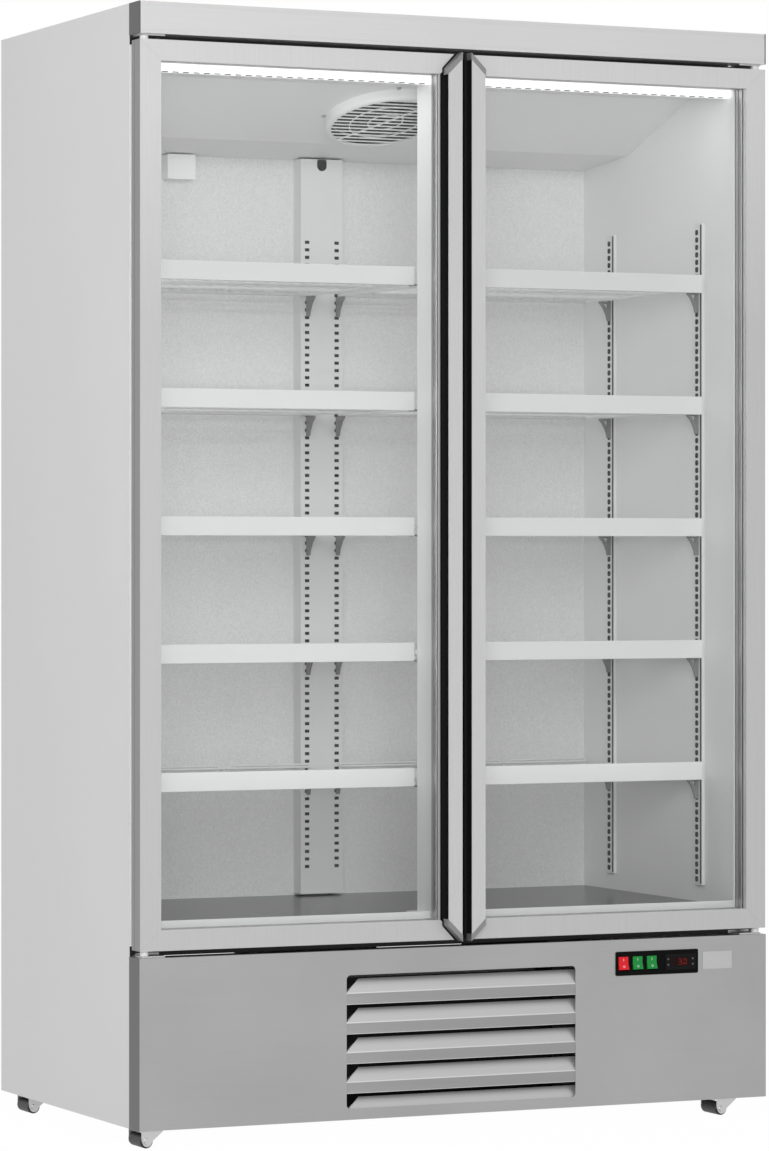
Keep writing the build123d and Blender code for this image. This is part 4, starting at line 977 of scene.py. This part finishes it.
def makeDisplay():
    d = display
    y = d["faceY"]
    front, back = y - d["litRise"], y + d["litSunk"]
    w, h = d["digit"]
    s = d["stroke"]
    lit = bmesh.new()
    x = d["x"] - d["start"]
    z0, z1, zm = d["z"] - h / 2, d["z"] + h / 2, d["z"]
    for mark in d["reading"]:
        if mark == ".":
            point = x - d["pointBack"]
            addBox(lit, (point, front, z0), (point + s, back, z0 + s))
            continue
        x0, x1 = x, x + w
        bars = {"a": (x0, x1, z1 - s, z1), "d": (x0, x1, z0, z0 + s), "g": (x0, x1, zm - s / 2, zm + s / 2),
                "f": (x0, x0 + s, zm, z1), "b": (x1 - s, x1, zm, z1),
                "e": (x0, x0 + s, z0, zm), "c": (x1 - s, x1, z0, zm)}
        for bar in digitBars[mark]:
            a, b, c, e = bars[bar]
            inset = d["barInset"]
            addBox(lit, (a + inset, front, c + inset), (b - inset, back, e - inset))
        x += w + d["gap"]
    digits = toObject(lit, "displayDigits", look["digitRed"], 0)
    settle(digits, "cabinet", "red_key")
    bm = bmesh.new()
    outline = [(d["x"] + a, d["z"] + b) for a, b in roundedOutline(*d["window"], d["windowRound"], 3)]
    addPrism(bm, outline, "Y", y - d["windowRise"], y + d["sunk"])
    window = toObject(bm, "displayWindow", look["digitOff"], 0)
    settle(window, "cabinet", "dark_plastic")
    # four small keys at the sides of the window
    bm = bmesh.new()
    for dx in (-d["keyX"], d["keyX"]):
        for dz in (-d["keyZ"], d["keyZ"]):
            outline = [(d["x"] + dx + a, d["z"] + dz + b)
                       for a, b in roundedOutline(d["key"], d["key"], d["keyRound"], 2)]
            addPrism(bm, outline, "Y", y - d["keyRise"], y + d["sunk"])
    keys = toObject(bm, "displayKeys", look["greyPlasticAndShade"], 0)
    settle(keys, "cabinet", "dark_plastic")


rockers = {
    "first": 0.326, "pitch": 0.02925, "pivot": (-0.335, 0.288), "tilt": -10.0,
    "line": (0.0008, 0.0045), "ring": 0.0021, "ringWidth": 0.0006, "corners": 16,
    "rise": 0.0003, "sunk": 0.0001, "faceY": -0.0053, "faceZ": 0.0062, "slope": (0.0022, 0.0118),
    "bodies": ("power_switch", "fan_switch", "light_switch"),
}


def markRockers():
    k = rockers
    # the two halves of the rocker's face slope in towards its middle
    slope = math.atan2(*k["slope"])
    w, h = k["line"]
    ys = (-k["rise"], k["sunk"])
    for index, body in enumerate(k["bodies"]):
        bm = bmesh.new()
        addBox(bm, (-w / 2, ys[0], -h / 2), (w / 2, ys[1], h / 2))
        upper = Matrix.Translation((0, k["faceY"], k["faceZ"])) @ Matrix.Rotation(slope, 4, "X")
        bmesh.ops.transform(bm, matrix=upper, verts=bm.verts)
        before = set(bm.verts)
        angles = [2 * math.pi * step / k["corners"] for step in range(k["corners"])]
        addFrame(bm, [[bm.verts.new((radius * math.cos(a), y, radius * math.sin(a))) for a in angles]
                      for radius in (k["ring"], k["ring"] - k["ringWidth"]) for y in ys])
        lower = Matrix.Translation((0, k["faceY"], -k["faceZ"])) @ Matrix.Rotation(-slope, 4, "X")
        bmesh.ops.transform(bm, matrix=lower, verts=[v for v in bm.verts if v not in before])
        y, z = k["pivot"]
        place = Matrix.Translation((k["first"] + index * k["pitch"], y, z)) @ Matrix.Rotation(
            math.radians(k["tilt"]), 4, "X")
        bmesh.ops.transform(bm, matrix=place, verts=bm.verts)
        marks = toObject(bm, f"rockerMarks{index + 1}", look["keyMark"], 0)
        settle(marks, body, "white_plastic")


makeDisplay()
markRockers()
print("controls marked")


# Screws down both sides of the back
screws = {
    "head": 0.0042, "rise": 0.0007, "sunk": 0.0002, "corners": 12,
    "backX": 0.606, "backZ": (0.42, 1.96), "backRows": 8,
    # shares of the head's radius and of its rise
    "dome": ((1.0, 0.0), (1.0, 0.25), (0.86, 0.7), (0.55, 0.95)),
}


def screwHead(place):
    # a low domed head
    s = screws
    bm = bmesh.new()
    angles = [2 * math.pi * step / s["corners"] for step in range(s["corners"])]
    rings = [[bm.verts.new((s["head"] * share * math.cos(a),
                            s["head"] * share * math.sin(a), s["rise"] * rise))
              for a in angles] for share, rise in s["dome"]]
    for low, high in zip(rings, rings[1:]):
        bridge(bm, low, high)
    bm.faces.new(rings[-1])
    bm.faces.new(list(reversed(rings[0])))
    bmesh.ops.transform(bm, matrix=place, verts=bm.verts)
    return toObject(bm, "backScrews", look["zincBright"])


def backScrews():
    s = screws
    low, high = s["backZ"]
    step = (high - low) / (s["backRows"] - 1)
    place = Matrix.Translation((-s["backX"], cabinet["backY"] - s["sunk"], low)) @ Matrix.Rotation(
        math.radians(-90), 4, "X")
    head = screwHead(place)
    repeat(head, look["zincBright"], s["backRows"], (0, 0, step), 2, (2 * s["backX"], 0, 0))
    settle(head, "cabinet", "zinc_steel")


backScrews()
print("screws set")


# Floor, backdrop and light
studio = {
    "floorRadius": 14, "floorTone": 0.86, "nearShare": 0.985, "fadeFrom": 0.7, "fadeTo": 2.4,
    "ambient": 0.55,
    "aimed": {
        "keyLamp": {"place": (-2.0, -5.0, 1.9), "size": 2.2, "power": 112, "target": (0, 0, 1.0)},
        "fillLamp": {"place": (-4.6, -1.2, 3.0), "size": 3.0, "power": 30, "target": (0, 0, 0.9)},
    },
    # lamps of both bays: the power is for the left and the right bay, the turn in degrees
    "bays": (
        {"x": 0.3, "y": -0.262, "z": 1.882, "long": 0.42, "tall": 0.02,
         "power": (0.35, 0.28), "turn": (16, 0, 0)},
        {"x": 0.3, "y": -0.262, "z": 1.1, "long": 0.5, "tall": 0.9,
         "power": (0.33, 0.27), "turn": (95, 0, 0)},
        {"x": 0.0, "y": -0.02, "z": 1.15, "long": 1.0, "tall": 0.3,
         "power": (0.62, 0.44), "turn": (0, -90, 0)},
    ),
    "bayLeft": (-0.572, 0.04),
}


def areaLamp(name, shape, place, size, power):
    data = bpy.data.lights.new(name, "AREA")
    data.shape = shape
    data.size = size
    data.energy = power
    light = bpy.data.objects.new(name, data)
    light.location = place
    scene.collection.objects.link(light)
    return light


def bayLamp(place, bay, power):
    # what the lens throws into its bay, so that the lens itself can stay readable
    light = areaLamp("bayLamp", "RECTANGLE", place, bay["long"], power)
    light.data.size_y = bay["tall"]
    light.rotation_euler = [math.radians(angle) for angle in bay["turn"]]
    light.visible_camera = False
    light.visible_glossy = False


def aimedLamp(name, place, size, power, target):
    light = areaLamp(name, "DISK", place, size, power)
    light.rotation_euler = (Vector(target) - Vector(place)).to_track_quat("-Z", "Y").to_euler()


def cameraLikeRays(owner):
    path = add(owner, "LightPath")
    total = path.outputs["Is Camera Ray"]
    for ray in ("Is Glossy Ray", "Is Transmission Ray"):
        total = maths(owner, "MAXIMUM", total, path.outputs[ray])
    return total


def makeWorld():
    world = emptied(bpy.data.worlds.new("studio"))
    scene.world = world
    soft = add(world, "Background", Color=(1, 1, 1, 1), Strength=studio["ambient"])
    white = add(world, "Background", Color=(1, 1, 1, 1))
    showMixed(world, "World", cameraLikeRays(world), soft, white)


def makeFloor():
    # pale near the cabinet, and fading to the white of the backdrop
    s = studio
    bm = bmesh.new()
    bmesh.ops.create_circle(bm, cap_ends=True, segments=64, radius=s["floorRadius"])
    material = emptied(bpy.data.materials.new("paleFloor"))
    matte = add(material, "BsdfDiffuse", Color=(s["floorTone"],) * 3 + (1,))
    white = add(material, "Emission")
    far = add(material, "VectorMath", operation="LENGTH")
    join(material, add(material, "TexCoord").outputs["Object"], far.inputs[0])
    fade = spread(material, far.outputs["Value"], s["nearShare"], 1.0, s["fadeFrom"], s["fadeTo"])
    share = maths(material, "MULTIPLY", fade, cameraLikeRays(material))
    showMixed(material, "Material", share, matte, white)
    toObject(bm, "paleFloor", material, 0)


makeWorld()
makeFloor()
for name, values in studio["aimed"].items():
    aimedLamp(name, **values)
for index, leftX in enumerate(studio["bayLeft"]):
    for bay in studio["bays"]:
        # a lamp at the middle of its bay, or one at the bay's left side
        x = (2 * index - 1) * bay["x"] if bay["x"] else leftX
        bayLamp((x, bay["y"], bay["z"]), bay, bay["power"][index])
scene.view_settings.view_transform = "Standard"
print("studio lit")
